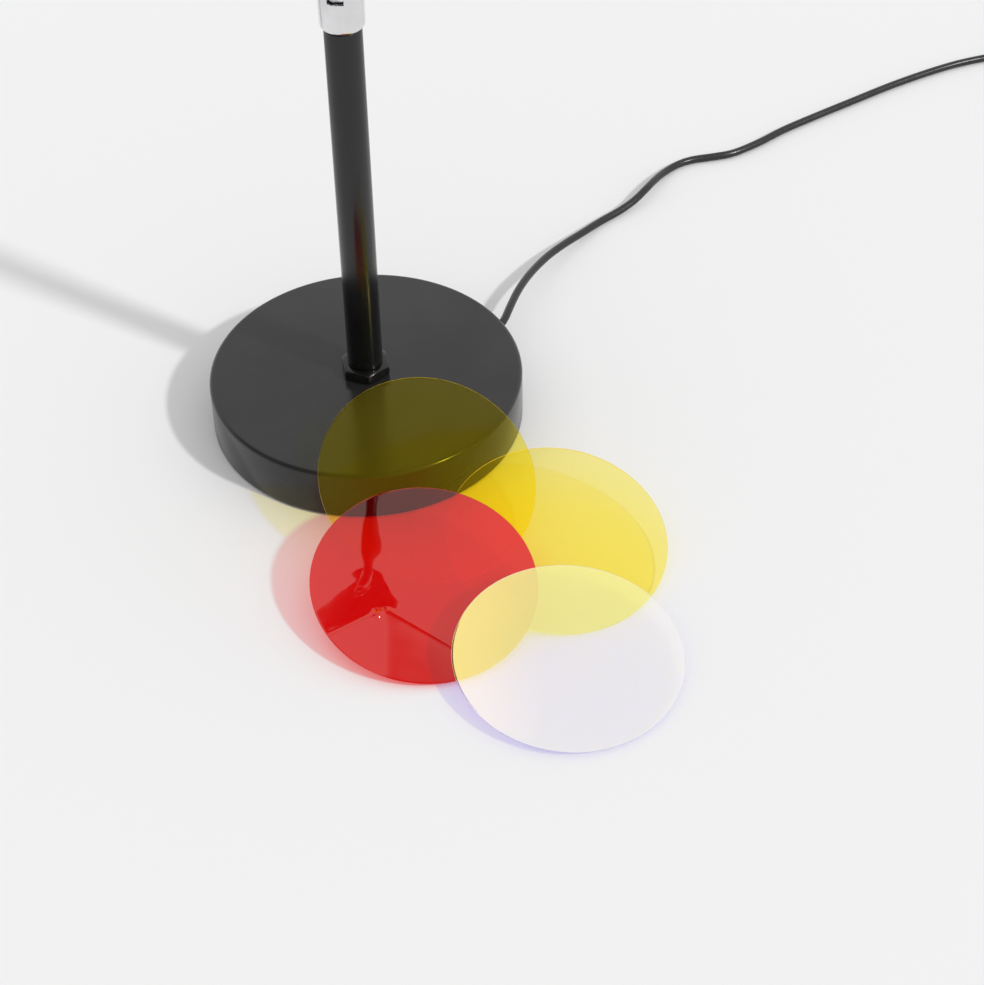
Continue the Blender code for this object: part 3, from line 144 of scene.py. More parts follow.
def makeWorld(settings):
    scene.world = bpy.data.worlds.new("studioWorld")
    scene.world.use_nodes = True
    tree = scene.world.node_tree
    tree.nodes.clear()
    white = (1, 1, 1, 1)
    path = addNode(tree, "ShaderNodeLightPath", {}).outputs
    direction = addNode(tree, "ShaderNodeTexCoord", {}).outputs["Generated"]
    towardsRoom = addNode(tree, "ShaderNodeVectorMath", {0: direction, 1: settings["roomSide"]},
                          operation="DOT_PRODUCT").outputs["Value"]
    darker = mapRange(tree, towardsRoom, 0, -settings["roomDark"], *settings["roomReach"])
    strength = addMath(tree, "MULTIPLY_ADD", path["Is Glossy Ray"], darker, settings["skySeen"])
    lighting = addNode(tree, "ShaderNodeBackground", {"Strength": settings["skyForLighting"], "Color": white})
    seen = addNode(tree, "ShaderNodeBackground", {"Strength": strength, "Color": white})
    cameraOrGloss = addMath(tree, "MAXIMUM", path["Is Camera Ray"], path["Is Glossy Ray"])
    anySight = addMath(tree, "MAXIMUM", cameraOrGloss, path["Is Transmission Ray"])
    sky = mixShaders(tree, anySight, lighting.outputs[0], seen.outputs[0])
    addNode(tree, "ShaderNodeOutputWorld", {"Surface": sky})


tableSettings = {
    "colour": (0.896, 0.896, 0.897, 1),
    "roughness": 0.9,
    "size": 60.0,
    "drop": 0.1 * mm,
}


def makeTable(settings):
    bpy.ops.object.select_all(action="DESELECT")
    bpy.ops.mesh.primitive_plane_add(size=settings["size"], location=(0, 0, -settings["drop"]))
    table = bpy.context.object
    table.name = "paleTable"
    paper = bpy.data.materials.new("palePaper")
    paper.use_nodes = True
    setInputs(paper.node_tree, paper.node_tree.nodes["Principled BSDF"], {
        "Base Color": settings["colour"], "Roughness": settings["roughness"], "Specular IOR Level": 0.0})
    table.data.materials.append(paper)


makeCamera(cameraSettings)
makeLight(lightSettings)
makeWorld(lightSettings)
makeTable(tableSettings)
print("camera, lamp and table made")


# Shared tools for modelling

def pick(settings, *names):
    return [settings[name] for name in names]


def lifted(height):
    return Matrix.Translation((0, 0, height))


def turned(angle):
    return Matrix.Rotation(angle, 4, "Z")


def ringSpot(radius, angle):
    return Matrix.Translation((radius * math.cos(angle), radius * math.sin(angle), 0))


def startAlone():
    if bpy.context.object and bpy.context.object.mode != "OBJECT":
        bpy.ops.object.mode_set(mode="OBJECT")
    bpy.ops.object.select_all(action="DESELECT")


def makeActive(thing):
    startAlone()
    thing.select_set(True)
    bpy.context.view_layer.objects.active = thing


def applyModifiers(thing):
    makeActive(thing)
    for step in list(thing.modifiers):
        bpy.ops.object.modifier_apply(modifier=step.name)


def softenEdges(thing, width, segments=3, degrees=30):
    step = thing.modifiers.new("softEdges", "BEVEL")
    step.width = width
    step.segments = segments
    step.limit_method = "ANGLE"
    step.angle_limit = math.radians(degrees)
    applyModifiers(thing)


def cutBy(thing, cutter, operation="DIFFERENCE"):
    step = thing.modifiers.new("shaping", "BOOLEAN")
    step.operation = operation
    step.object = cutter
    applyModifiers(thing)
    bpy.data.objects.remove(cutter, do_unlink=True)


def drill(thing, radius, low, high, sides, place=Matrix()):
    cutBy(thing, addRod("drill", radius, low, high, sides, place))


def mill(thing, size, centre, place=Matrix()):
    cutBy(thing, addBlock("mill", size, centre, place))


def placeNew(name, place):
    # The new primitive gets its name, and its place goes into its mesh
    thing = bpy.context.object
    bpy.ops.object.transform_apply(location=True, rotation=True, scale=True)
    thing.name = name
    thing.data.name = name
    thing.data.transform(place)
    return thing


def addRod(name, radius, low, high, sides, place=Matrix()):
    startAlone()
    bpy.ops.mesh.primitive_cylinder_add(vertices=sides, radius=radius, depth=high - low,
                                        location=(0, 0, (high + low) / 2))
    return placeNew(name, place)


def addBlock(name, size, centre=(0, 0, 0), place=Matrix()):
    startAlone()
    bpy.ops.mesh.primitive_cube_add(size=1, location=centre, scale=size)
    return placeNew(name, place)


def spinOutline(name, outline, sides):
    # The outline is a closed loop of (radius, height); points on the axis close the piece there
    startAlone()
    bpy.ops.mesh.primitive_circle_add(vertices=len(outline), radius=mm)
    thing = placeNew(name, Matrix())
    for point, (radius, height) in zip(thing.data.vertices, outline):
        point.co = (radius, 0, height)
    bpy.ops.object.mode_set(mode="EDIT")
    bpy.ops.mesh.select_all(action="SELECT")
    bpy.ops.mesh.spin(steps=sides, angle=2 * math.pi, center=(0, 0, 0), axis=(0, 0, 1))
    bpy.ops.mesh.select_all(action="SELECT")
    bpy.ops.mesh.remove_doubles(threshold=mergeDistance)
    bpy.ops.mesh.delete_loose(use_verts=True, use_edges=True, use_faces=False)
    bpy.ops.mesh.select_all(action="SELECT")
    bpy.ops.mesh.normals_make_consistent(inside=False)
    bpy.ops.object.mode_set(mode="OBJECT")
    return thing


def selectParts(thing, kind, wanted):
    # Picks edges or faces and leaves the piece in edit mode
    makeActive(thing)
    bpy.ops.object.mode_set(mode="EDIT")
    bpy.ops.mesh.select_mode(type=kind)
    bpy.ops.mesh.select_all(action="DESELECT")
    bpy.ops.object.mode_set(mode="OBJECT")
    for part in thing.data.edges if kind == "EDGE" else thing.data.polygons:
        part.select = wanted(part)
    bpy.ops.object.mode_set(mode="EDIT")


def roundEdgesAlong(thing, axis, width, segments=6):
    # Rounds the edges of a block that run along one axis: 0, 1 or 2 for x, y or z
    def runsAlong(edge):
        first, second = (thing.data.vertices[index].co[axis] for index in edge.vertices)
        return abs(first - second) > mm

    selectParts(thing, "EDGE", runsAlong)
    bpy.ops.mesh.bevel(offset=width, segments=segments, affect="EDGES")
    bpy.ops.object.mode_set(mode="OBJECT")


def roundCorner(centre, radius, start, end, points):
    made = []
    for index in range(points + 1):
        angle = math.radians(start + (end - start) * index / points)
        made.append((centre[0] + radius * math.cos(angle), centre[1] + radius * math.sin(angle)))
    return made


def topCorner(radius, height, edge, points=3):
    return roundCorner((radius - edge, height - edge), edge, 90, 0, points)


def bottomCorner(radius, height, edge, points=3):
    return roundCorner((radius - edge, height + edge), edge, 0, -90, points)


def finishPiece(thing, finish, body, replaced, place=Matrix(), smoothDegrees=32):
    thing.data.transform(place)
    makeActive(thing)
    bpy.ops.object.shade_smooth_by_angle(angle=math.radians(smoothDegrees))
    thing.data.materials.clear()
    for one in finish if isinstance(finish, list) else [finish]:
        thing.data.materials.append(one)
    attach(thing, body)
    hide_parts(*replaced)
    return thing


# Finishes

def newFinish(name):
    made = bpy.data.materials.new(name)
    made.use_nodes = True
    return made, made.node_tree, made.node_tree.nodes["Principled BSDF"]


def setSurface(tree, outcome):
    tree.links.new(outcome, tree.nodes["Material Output"].inputs["Surface"])


def clearShader(tree, colour):
    return addNode(tree, "ShaderNodeBsdfTransparent", {"Color": colour}).outputs[0]


def objectCoordinates(tree, shift=(0, 0, 0)):
    where = addNode(tree, "ShaderNodeTexCoord", {}).outputs["Object"]
    return addNode(tree, "ShaderNodeMapping", {"Vector": where, "Location": shift}).outputs["Vector"]


def noisePattern(tree, vector, scale, detail=4.0, roughness=0.55):
    return addNode(tree, "ShaderNodeTexNoise", {
        "Vector": vector, "Scale": scale, "Detail": detail, "Roughness": roughness}).outputs["Fac"]


def mixTones(tree, value, darker, lighter, fromLow=0.3, fromHigh=0.7):
    node = addNode(tree, "ShaderNodeValToRGB", {"Fac": value})
    for end, position, tone in zip(node.color_ramp.elements, (fromLow, fromHigh), (darker, lighter)):
        end.position = position
        end.color = (*tone, 1)
    return node.outputs["Color"]


def addBump(tree, shader, height, strength, distance):
    bump = addNode(tree, "ShaderNodeBump", {"Strength": strength, "Distance": distance, "Height": height})
    setInputs(tree, shader, {"Normal": bump.outputs["Normal"]})


def plainFinish(name, darker, lighter, patches, rough, grain, depth, metallic=0.0, specular=0.5):
    # Two close tones in soft patches, an uneven gloss and a fine grain
    made, tree, shader = newFinish(name)
    vector = objectCoordinates(tree)
    grains = noisePattern(tree, vector, grain, 3.0)
    setInputs(tree, shader, {
        "Base Color": mixTones(tree, noisePattern(tree, vector, patches), darker, lighter),
        "Roughness": mapRange(tree, grains, *rough), "Metallic": metallic, "Specular IOR Level": specular})
    addBump(tree, shader, grains, 0.5, depth)
    return made


def turnedMetal(name, darker, lighter, rings, rough):
    # Fine rings, as a lathe leaves them
    made, tree, shader = newFinish(name)
    vector = objectCoordinates(tree)
    wave = addNode(tree, "ShaderNodeTexWave", {
        "Vector": vector, "Scale": rings, "Distortion": 1.5, "Detail": 3,
    }, wave_type="RINGS", rings_direction="Z").outputs["Fac"]
    setInputs(tree, shader, {
        "Base Color": mixTones(tree, noisePattern(tree, vector, 90), darker, lighter),
        "Roughness": mapRange(tree, wave, *rough, 0, 1), "Metallic": 1.0})
    addBump(tree, shader, wave, 0.15, 0.01 * mm)
    return made


def distanceFrom(tree, vector, spot):
    return addNode(tree, "ShaderNodeVectorMath", {0: vector, 1: spot}, operation="DISTANCE").outputs["Value"]


def fromSpot(tree, spot):
    # Object coordinates counted from a spot on the piece, one by one
    counted = objectCoordinates(tree, [-place for place in spot])
    split = addNode(tree, "ShaderNodeSeparateXYZ", {0: counted}).outputs
    return split["X"], split["Y"]


def swelling(tree, distance, width):
    # 1 at no distance, fading out on both sides
    squared = addMath(tree, "MULTIPLY", distance, distance)
    return addMath(tree, "EXPONENT", addMath(tree, "MULTIPLY", squared, -1 / width ** 2))


def filmBow(tree, relief, vector, away):
    # Ripples that fade away from the crease, in a sheet that bows, more so towards its back
    waves = noisePattern(tree, vector, relief["scale"], 1.0, 0.4)
    lively = mapRange(tree, away, 1.0, relief["calmPart"], 0, relief["creaseReach"])
    ripples = addMath(tree, "MULTIPLY", waves, lively)
    x, y = fromSpot(tree, relief["middle"])
    acrossRadius, alongRadius = relief["bowRadii"]
    bend = addMath(tree, "MULTIPLY_ADD", y, relief["bowGrowth"], 1 / acrossRadius)
    lengthwise = addMath(tree, "MULTIPLY", addMath(tree, "MULTIPLY", y, y), 1 / alongRadius)
    bow = addMath(tree, "MULTIPLY_ADD", addMath(tree, "MULTIPLY", x, x), bend, lengthwise)
    return addMath(tree, "MULTIPLY_ADD", bow, -0.5 / relief["depth"], ripples)


def filmFold(tree, relief, vector, away, height):
    # The sheet is folded down in front of the crease, with a low ridge near the highest spot
    depth = relief["depth"]
    x, y = fromSpot(tree, relief["creaseAt"])
    sideways = addMath(tree, "SMOOTH_MAX", x, addMath(tree, "MULTIPLY", x, -1), relief["creaseTurn"])
    across = addMath(tree, "MULTIPLY_ADD", sideways, relief["creaseFall"], y)
    fold = addMath(tree, "SMOOTH_MIN", across, 0.0, relief["foldSoftness"])
    height = addMath(tree, "MULTIPLY_ADD", fold, relief["foldSlope"] / depth, height)
    fading = mapRange(tree, away, relief["creaseHeight"] / depth, 0, 0, relief["creaseLength"])
    height = addMath(tree, "MULTIPLY_ADD", swelling(tree, across, relief["creaseWidth"]), fading, height)
    # A small bump at the highest spot catches the lamp
    away = distanceFrom(tree, vector, relief["dentAt"])
    return addMath(tree, "MULTIPLY_ADD", swelling(tree, away, relief["dentWidth"]),
                   relief["dentHeight"] / depth, height)


def filmFinish(name, relief, passed, mirrored, shine, roughness):
    # Clear film, upper face: tinted light goes straight through, a little is mirrored in an uneven face
    made, tree, shader = newFinish(name)
    tree.nodes.remove(shader)
    vector = objectCoordinates(tree)
    away = distanceFrom(tree, vector, relief["creaseAt"])
    height = filmBow(tree, relief, vector, away)
    if "foldSlope" in relief:
        height = filmFold(tree, relief, vector, away, height)
    clear = clearShader(tree, (*passed, 1))
    gloss = addNode(tree, "ShaderNodeBsdfGlossy", {"Color": (*mirrored, 1), "Roughness": roughness})
    addBump(tree, gloss, height, 1.0, relief["depth"])
    facing = addNode(tree, "ShaderNodeLayerWeight", {"Blend": 0.5}).outputs["Facing"]
    share = addMath(tree, "MULTIPLY_ADD", addMath(tree, "POWER", facing, 4.0), 0.5, shine)
    share.node.use_clamp = True
    both = addNode(tree, "ShaderNodeAddShader", {0: clear, 1: gloss.outputs[0]}).outputs[0]
    setSurface(tree, mixShaders(tree, share, clear, both))
    return made


def shiftFilmFinish(name, settings):
    # The colour-shift coating mirrors one half of the colours and lets the other half through
    made, tree, shader = newFinish(name)
    tree.nodes.remove(shader)
    vector = objectCoordinates(tree)
    split = addNode(tree, "ShaderNodeSeparateXYZ", {0: vector}).outputs
    patches = noisePattern(tree, vector, 30, 2.0)
    drift = addMath(tree, "MULTIPLY_ADD", patches, settings["patchShift"], split["X"])
    path = addNode(tree, "ShaderNodeLightPath", {}).outputs
    passed = addNode(tree, "ShaderNodeMix", {
        "A": (*settings["passed"], 1), "B": (*settings["shadow"], 1), "Factor": path["Is Shadow Ray"]},
        data_type="RGBA").outputs["Result"]
    clear = clearShader(tree, passed)
    across = mapRange(tree, drift, 0, 1, settings["left"], settings["right"])
    mirrored = mixTones(tree, across, settings["mirroredLeft"], settings["mirroredRight"], 0, 1)
    gloss = addNode(tree, "ShaderNodeBsdfGlossy", {"Color": mirrored, "Roughness": 0.06}).outputs[0]
    setSurface(tree, addNode(tree, "ShaderNodeAddShader", {0: clear, 1: gloss}).outputs[0])
    return made


def undersideFinish(name):
    # The film's lower face adds no colour of its own, only a trace of haze
    made, tree, shader = newFinish(name)
    tree.nodes.remove(shader)
    haze = noisePattern(tree, objectCoordinates(tree), 60, 2.0)
    setSurface(tree, clearShader(tree, mixTones(tree, haze, (0.994, 0.994, 0.994), (1, 1, 1))))
    return made


def lensFinish(name):
    # Polished glass that also lets the lamp light the cup behind it
    made, tree, shader = newFinish(name)
    setInputs(tree, shader, {
        "Base Color": (0.985, 0.992, 0.99, 1), "Roughness": 0.01, "IOR": 1.5, "Transmission Weight": 1.0})
    path = addNode(tree, "ShaderNodeLightPath", {}).outputs
    clear = clearShader(tree, (0.95, 0.96, 0.96, 1))
    setSurface(tree, mixShaders(tree, path["Is Shadow Ray"], shader.outputs[0], clear))
    return made


satinPaint = plainFinish(
    "satinBlackPaint", (0.016, 0.016, 0.017), (0.024, 0.024, 0.025), patches=35, rough=(0.16, 0.23),
    grain=1400, depth=0.004 * mm, specular=0.37)
stemPaint = plainFinish(
    "smoothBlackStem", (0.005, 0.005, 0.005), (0.009, 0.009, 0.009), patches=30, rough=(0.14, 0.22),
    grain=1500, depth=0.003 * mm, specular=0.45)
nutFinish = plainFinish(
    "blackPlatedNut", (0.004, 0.004, 0.004), (0.009, 0.009, 0.009), patches=250, rough=(0.12, 0.22),
    grain=1800, depth=0.004 * mm, specular=0.4)
zinc = plainFinish(
    "zincPlate", (0.52, 0.5, 0.44), (0.66, 0.64, 0.6), patches=160, rough=(0.28, 0.46), grain=900,
    depth=0.01 * mm, metallic=1.0)
castIron = plainFinish(
    "castIron", (0.07, 0.07, 0.075), (0.13, 0.125, 0.12), patches=220, rough=(0.55, 0.8), grain=700,
    depth=0.15 * mm, metallic=0.6)
foam = plainFinish(
    "footFoam", (0.012, 0.012, 0.012), (0.028, 0.028, 0.028), patches=900, rough=(0.85, 1.0), grain=1600,
    depth=0.2 * mm, specular=0.2)
leadSkin = plainFinish(
    "blackLeadSkin", (0.006, 0.006, 0.006), (0.012, 0.012, 0.012), patches=120, rough=(0.2, 0.34),
    grain=900, depth=0.01 * mm)
mouldedPlastic = plainFinish(
    "mouldedBlackPlastic", (0.014, 0.014, 0.015), (0.022, 0.022, 0.023), patches=90, rough=(0.36, 0.5),
    grain=1400, depth=0.03 * mm)
boardWhite = plainFinish(
    "whiteBoard", (0.78, 0.79, 0.77), (0.88, 0.88, 0.86), patches=200, rough=(0.4, 0.55), grain=900,
    depth=0.01 * mm)
phosphor = plainFinish(
    "yellowPhosphor", (0.8, 0.5, 0.05), (0.95, 0.68, 0.12), patches=500, rough=(0.45, 0.6), grain=1500,
    depth=0.02 * mm)
# Bright film rims: a painted glow that stands in for the light each thin sheet carries out at its edge
yellowRimPaintedGlow = plainFinish(
    "yellowFilmRimPaintedGlow", (0.85, 0.7, 0.05), (0.95, 0.85, 0.2), patches=300, rough=(0.25, 0.4), grain=900,
    depth=0.01 * mm)
redRimPaintedGlow = plainFinish(
    "redFilmRimPaintedGlow", (0.55, 0.01, 0.008), (0.8, 0.03, 0.02), patches=300, rough=(0.25, 0.4), grain=900,
    depth=0.01 * mm)
shiftRimPaintedGlow = plainFinish(
    "shiftFilmRimPaintedGlow", (0.45, 0.42, 0.75), (0.7, 0.68, 0.92), patches=300, rough=(0.2, 0.35), grain=900,
    depth=0.01 * mm)
chrome = turnedMetal("brightChrome", (0.66, 0.66, 0.67), (0.78, 0.78, 0.79), 900, (0.05, 0.14))
steel = turnedMetal("plainSteel", (0.5, 0.5, 0.51), (0.6, 0.6, 0.61), 600, (0.22, 0.38))
aluminium = turnedMetal("turnedAluminium", (0.68, 0.69, 0.7), (0.78, 0.79, 0.8), 500, (0.28, 0.42))
mirrorCup = turnedMetal("metallisedCup", (0.82, 0.82, 0.83), (0.88, 0.88, 0.89), 700, (0.05, 0.12))
clearLens = lensFinish("clearLensGlass")
filmUnderside = undersideFinish("filmUnderside")

yellowRelief = {
    **inMm(
        depth=0.1, creaseAt=(24, -60, 19), creaseReach=60, middle=(24, -60, 0), bowRadii=(2000, 2000)),
    "scale": 40, "calmPart": 0.5, "bowGrowth": 0,
}
redRelief = {
    **inMm(
        depth=0.8, creaseAt=(9.6, -116.2, 10.2), creaseReach=30, middle=(12, -145, 0),
        bowRadii=(1900, 380), creaseTurn=6, foldSoftness=2.0, creaseHeight=0.6, creaseWidth=0.9,
        creaseLength=40, dentAt=(6.0, -118.3, 9.9), dentHeight=1.2, dentWidth=1.3),
    "scale": 60, "calmPart": 0.6, "bowGrowth": 130, "creaseFall": 0.6, "foldSlope": 0.2,
}
shiftSettings = {
    **inMm(left=38, right=68, patchShift=12),
    "passed": (0.25, 0.235, 0.76), "shadow": (0.5, 0.47, 0.87), "mirroredLeft": (0.85, 0.775, 0.245),
    "mirroredRight": (0.69, 0.685, 0.225),
}
yellowFilm = filmFinish(
    "yellowFilm", yellowRelief, passed=(0.985, 0.905, 0.345), mirrored=(1, 0.74, 0.03), shine=0.045,
    roughness=0.2)
deepYellowFilm = filmFinish(
    "deepYellowFilm", yellowRelief, passed=(0.99, 0.9, 0.21), mirrored=(1, 0.74, 0.03), shine=0.045,
    roughness=0.2)
redFilm = filmFinish(
    "redFilm", redRelief, passed=(0.807, 0.015, 0.018), mirrored=(0.9, 0.76, 0.7), shine=0.076,
    roughness=0.03)
shiftFilm = shiftFilmFinish("shiftFilm", shiftSettings)
print("finishes made")


# Lead: the stretch on the table first, then the coil and its plug

leadSettings = {
    "radius": 1.6 * mm,
    "curveSamples": 16,
    "readingStep": 3.2 * mm,
    "hiddenEnd": 0.5 * mm,
    "tableRoute": [
        (50.9, 37.7, 10.5), (52.3, 38.7, 10.5), (54.0, 42.0, 10.6), (56.3, 49.5, 10.7), (59.7, 60.2, 10.2),
        (64.6, 72.3, 8.8), (71.9, 86.2, 6.6), (79.4, 97.2, 4.6), (87.7, 107.2, 2.9), (95.8, 116.3, 1.8),
        (104.8, 123.6, 2.1), (111.4, 129.4, 3.2), (116.4, 135.8, 4.0), (121.3, 144.1, 3.2),
        (126.4, 151.6, 2.0), (132.2, 157.0, 1.65), (138.6, 160.1, 1.65), (147.6, 162.0, 1.65),
        (157.0, 164.6, 1.65), (168.8, 172.0, 1.65), (181.2, 181.6, 1.65), (196.8, 191.8, 1.65),
        (212.6, 201.7, 1.65), (237.0, 216.7, 1.65), (262.9, 229.9, 1.65), (283.0, 236.6, 1.65),
        (298.0, 239.4, 2.0), (306.0, 240.4, 2.7), (312.5, 240.6, 3.2), (319.0, 240.6, 3.3)],
}
switchSettings = {
    **inMm(
        gap=0.3, noseLength=5.0, noseRadius=2.4,
        noseRings=[(2.0, 5.0), (2.15, 4.4), (1.95, 4.0), (2.2, 3.6), (2.0, 3.0), (2.3, 2.6), (2.1, 2.0),
                   (2.4, 1.4)],
        length=44.0, width=17.0, height=12.0, cornerRadius=3.0, edgeRadius=0.9, blockPocket=(16, 9, 7.2),
        buttonRadius=4.6, buttonEdge=0.6, buttonProud=2.0, buttonHeight=5.6,
        buttonDish=[(0, 0.35), (2.4, 0.2), (3.6, 0)],    # radius and depth
    ),
    "start": Vector((319.0, 240.6, 3.3)) * mm,
}
coilSettings = {
    **inMm(outerRadius=23.4, pitch=3.8, bottom=2.7),
    "centre": Vector((387.0, 217.2, 0)) * mm, "layers": 4, "turns": 9.25, "pointsATurn": 36,
    "climbPart": 0.25,
}
plugSettings = {
    **inMm(
        tailStraight=12.0, tailDrop=38.0, floor=1.7, axisHeight=3.8, gap=0.3, noseLength=8.0,
        noseRadius=2.9,
        noseRings=[(2.0, 8.0), (2.2, 7.0), (1.95, 6.6), (2.3, 5.4), (2.05, 5.0), (2.5, 3.8), (2.2, 3.4),
                   (2.7, 2.2), (2.4, 1.8), (2.9, 0.6)],
        length=24.0, width=14.0, height=7.6, edgeRadius=1.2, grooveStep=2.4, grooveStart=-5,
        grooveWidth=1.0, grooveEnd=1.5, shellWidth=12.0, shellHeight=4.5, shellLength=16.0,
        shellWall=0.35, shellEdge=0.5, shellRoot=4.0, window=(2.2, 2.2, 1.0), windowAt=(6, 2.9)),
    "grooves": 4,
    "tailFall": [(0.16, 0.99), (0.4, 0.72), (0.7, 0.24), (0.9, 0.06), (1.0, 0.0)],    # way and height
}


def readRoute(points):
    # A smooth curve through the points, read at even steps
    step, samples = pick(leadSettings, "readingStep", "curveSamples")
    knots = [Vector(point) for point in points]
    knots = [2 * knots[0] - knots[1]] + knots + [2 * knots[-1] - knots[-2]]
    dense = []
    for index in range(1, len(knots) - 2):
        before, start, end, after = knots[index - 1:index + 3]
        for sample in range(samples):
            t = sample / samples
            dense.append(0.5 * (2 * start + (end - before) * t
                                + (2 * before - 5 * start + 4 * end - after) * t ** 2
                                + (3 * start - before - 3 * end + after) * t ** 3))
    dense.append(knots[-2])
    lengths = [0.0]
    for first, second in zip(dense, dense[1:]):
        lengths.append(lengths[-1] + (second - first).length)
    count = max(2, round(lengths[-1] / step))
    made, index = [], 0
    for number in range(count + 1):
        wanted = lengths[-1] * number / count
        while index < len(dense) - 2 and lengths[index + 1] < wanted:
            index += 1
        share = (wanted - lengths[index]) / (lengths[index + 1] - lengths[index])
        made.append(dense[index].lerp(dense[index + 1], share))
    return made


def routeLength(points):
    return sum((second - first).length for first, second in zip(points, points[1:]))


def layLead(name, points, replaced):
    curve = bpy.data.curves.new(name, "CURVE")
    curve.dimensions = "3D"
    curve.bevel_depth = leadSettings["radius"]
    curve.bevel_resolution = 6
    curve.use_fill_caps = True
    spline = curve.splines.new("POLY")
    spline.points.add(len(points) - 1)
    for point, where in zip(spline.points, points):
        point.co = (*where, 1)
    spline.use_smooth = True
    lead = bpy.data.objects.new(name, curve)
    scene.collection.objects.link(lead)
    curve.materials.append(leadSkin)
    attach(lead, "base")
    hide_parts(*replaced)
    return lead


def coilPoints(sizes):
    turns, layers, pitch, climbPart = pick(sizes, "turns", "layers", "pitch", "climbPart")
    turnsALayer = turns / layers
    count = round(turns * sizes["pointsATurn"])
    made = []
    for index in range(count + 1):
        turnsDone = turns * index / count
        layer = min(int(turnsDone / turnsALayer), layers - 1)
        within = turnsDone - layer * turnsALayer
        inward = within if layer % 2 == 0 else turnsALayer - within
        radius = sizes["outerRadius"] - inward * pitch
        climb = 0.0
        if layer < layers - 1 and within > turnsALayer - climbPart:
            climb = 2 * (within - (turnsALayer - climbPart))
        if layer > 0 and within < climbPart:
            climb = 2 * within - 2 * climbPart
        angle = math.pi / 2 - 2 * math.pi * turnsDone
        height = sizes["bottom"] + (layer + climb) * pitch
        made.append(sizes["centre"] + Vector((radius * math.cos(angle), radius * math.sin(angle), height)))
    return made


def tailPoints(start, heading, sizes):
    straight, floor, axisHeight = pick(sizes, "tailStraight", "floor", "axisHeight")
    run = straight + sizes["tailDrop"]
    made = []
    for share, heightShare in sizes["tailFall"]:
        spot = start + heading * run * share
        spot.z = floor + (start.z - floor) * heightShare
        made.append(spot)
    end = start + heading * (run + 2 * straight)
    beforePlug = end - heading * straight / 2
    beforePlug.z = (floor + 2 * axisHeight) / 3
    end.z = axisHeight
    return made + [beforePlug, end]


def alongX(distance):
    return Vector((distance, 0, 0))


hiddenEnd = leadSettings["hiddenEnd"]
tableLeadPoints = readRoute([Vector(point) * mm for point in leadSettings["tableRoute"]])
exitHeading = (tableLeadPoints[1] - tableLeadPoints[0]).normalized()
tableLead = layLead("tableLead", [tableLeadPoints[0] - exitHeading * hiddenEnd, *tableLeadPoints,
                                  tableLeadPoints[-1] + alongX(hiddenEnd)], ["cord_run"])

switchStart, switchGap, switchNose, switchLength = pick(
    switchSettings, "start", "gap", "noseLength", "length")
switchMiddle = switchStart + Vector((switchGap + switchNose + switchLength / 2, 0, -switchStart.z))
linkStart = switchMiddle + Vector((switchLength / 2 + switchNose + switchGap, 0, switchStart.z))
coil = coilPoints(coilSettings)
coilHeading = (coil[-1] - coil[-2]).normalized()
coilHeading.z = 0
coilStart = coil[0] - alongX(2 * leadSettings["radius"])
coilEnd = coil[-1] + coilHeading * 2 * leadSettings["radius"]
linkEnd = coilStart - alongX(switchGap)
span = linkEnd - linkStart
linkPoints = readRoute([linkStart, linkStart + span * 0.25 - Vector((0, 0, span.z * 0.15)),
                        linkEnd - span * 0.3 + Vector((0, 0, span.z * 0.02)), linkEnd])
tailStart = coilEnd + coilHeading * switchGap
tail = readRoute([tailStart, *tailPoints(tailStart, coilHeading, plugSettings)])
coiledPoints = [linkStart - alongX(hiddenEnd), *linkPoints, coilStart, *coil, coilEnd, *tail,
                tail[-1] + coilHeading * hiddenEnd]
coiledLead = layLead("coiledLead", coiledPoints, ["cord_link", "cord_coil", "cord_tail"])
print("lead on the table", round(routeLength(tableLeadPoints), 4), "and coiled",
      round(routeLength(coiledPoints), 4))


# Switch in the lead: two halves, two noses and a push button

def makeNose(name, sizes):
    # Ringed strain relief that starts a little inside the body
    return spinOutline(name, [(0, sizes["noseLength"]), *sizes["noseRings"],
                              (sizes["noseRadius"], -past), (0, -past)], 32)


def makeSwitch(sizes, middle):
    length, width, height, gap = pick(sizes, "length", "width", "height", "gap")
    halfHeight = (height - gap) / 2
    halves = []
    for name, low in (("switchLower", 0), ("switchUpper", height - halfHeight)):
        half = addBlock(name, (length, width, halfHeight), middle + Vector((0, 0, low + halfHeight / 2)))
        roundEdgesAlong(half, 2, sizes["cornerRadius"])
        halves.append(half)
    lower, upper = halves
    softenEdges(upper, sizes["edgeRadius"], 3, 60)
    softenEdges(lower, 0.5 * sizes["edgeRadius"], 2, 60)
    for side in (-1, 1):
        nose = makeNose("switchNose", sizes)
        end = Matrix.Translation(middle + Vector((side * length / 2, 0, sizes["start"].z)))
        nose.data.transform(end @ Matrix.Rotation(side * math.pi / 2, 4, "Y"))
        cutBy(lower, nose, "UNION")
    buttonRadius, buttonTop = sizes["buttonRadius"], height + sizes["buttonProud"]
    place = Matrix.Translation(middle)
    drill(upper, buttonRadius + gap, halfHeight, height + past, 64, place)
    mill(lower, sizes["blockPocket"], middle + Vector((0, 0, halfHeight)))
    foot = buttonTop - sizes["buttonHeight"]
    button = spinOutline("pushButton", [
        *[(radius, buttonTop - depth) for radius, depth in sizes["buttonDish"]],
        *topCorner(buttonRadius, buttonTop, sizes["buttonEdge"], 4), (buttonRadius, foot), (0, foot)], 64)
    finishPiece(lower, mouldedPlastic, "base", ["switch_base"])
    finishPiece(upper, mouldedPlastic, "base", ["switch_cover"])
    finishPiece(button, mouldedPlastic, "switch_button", ["switch_button"], place)
    return lower, upper, button


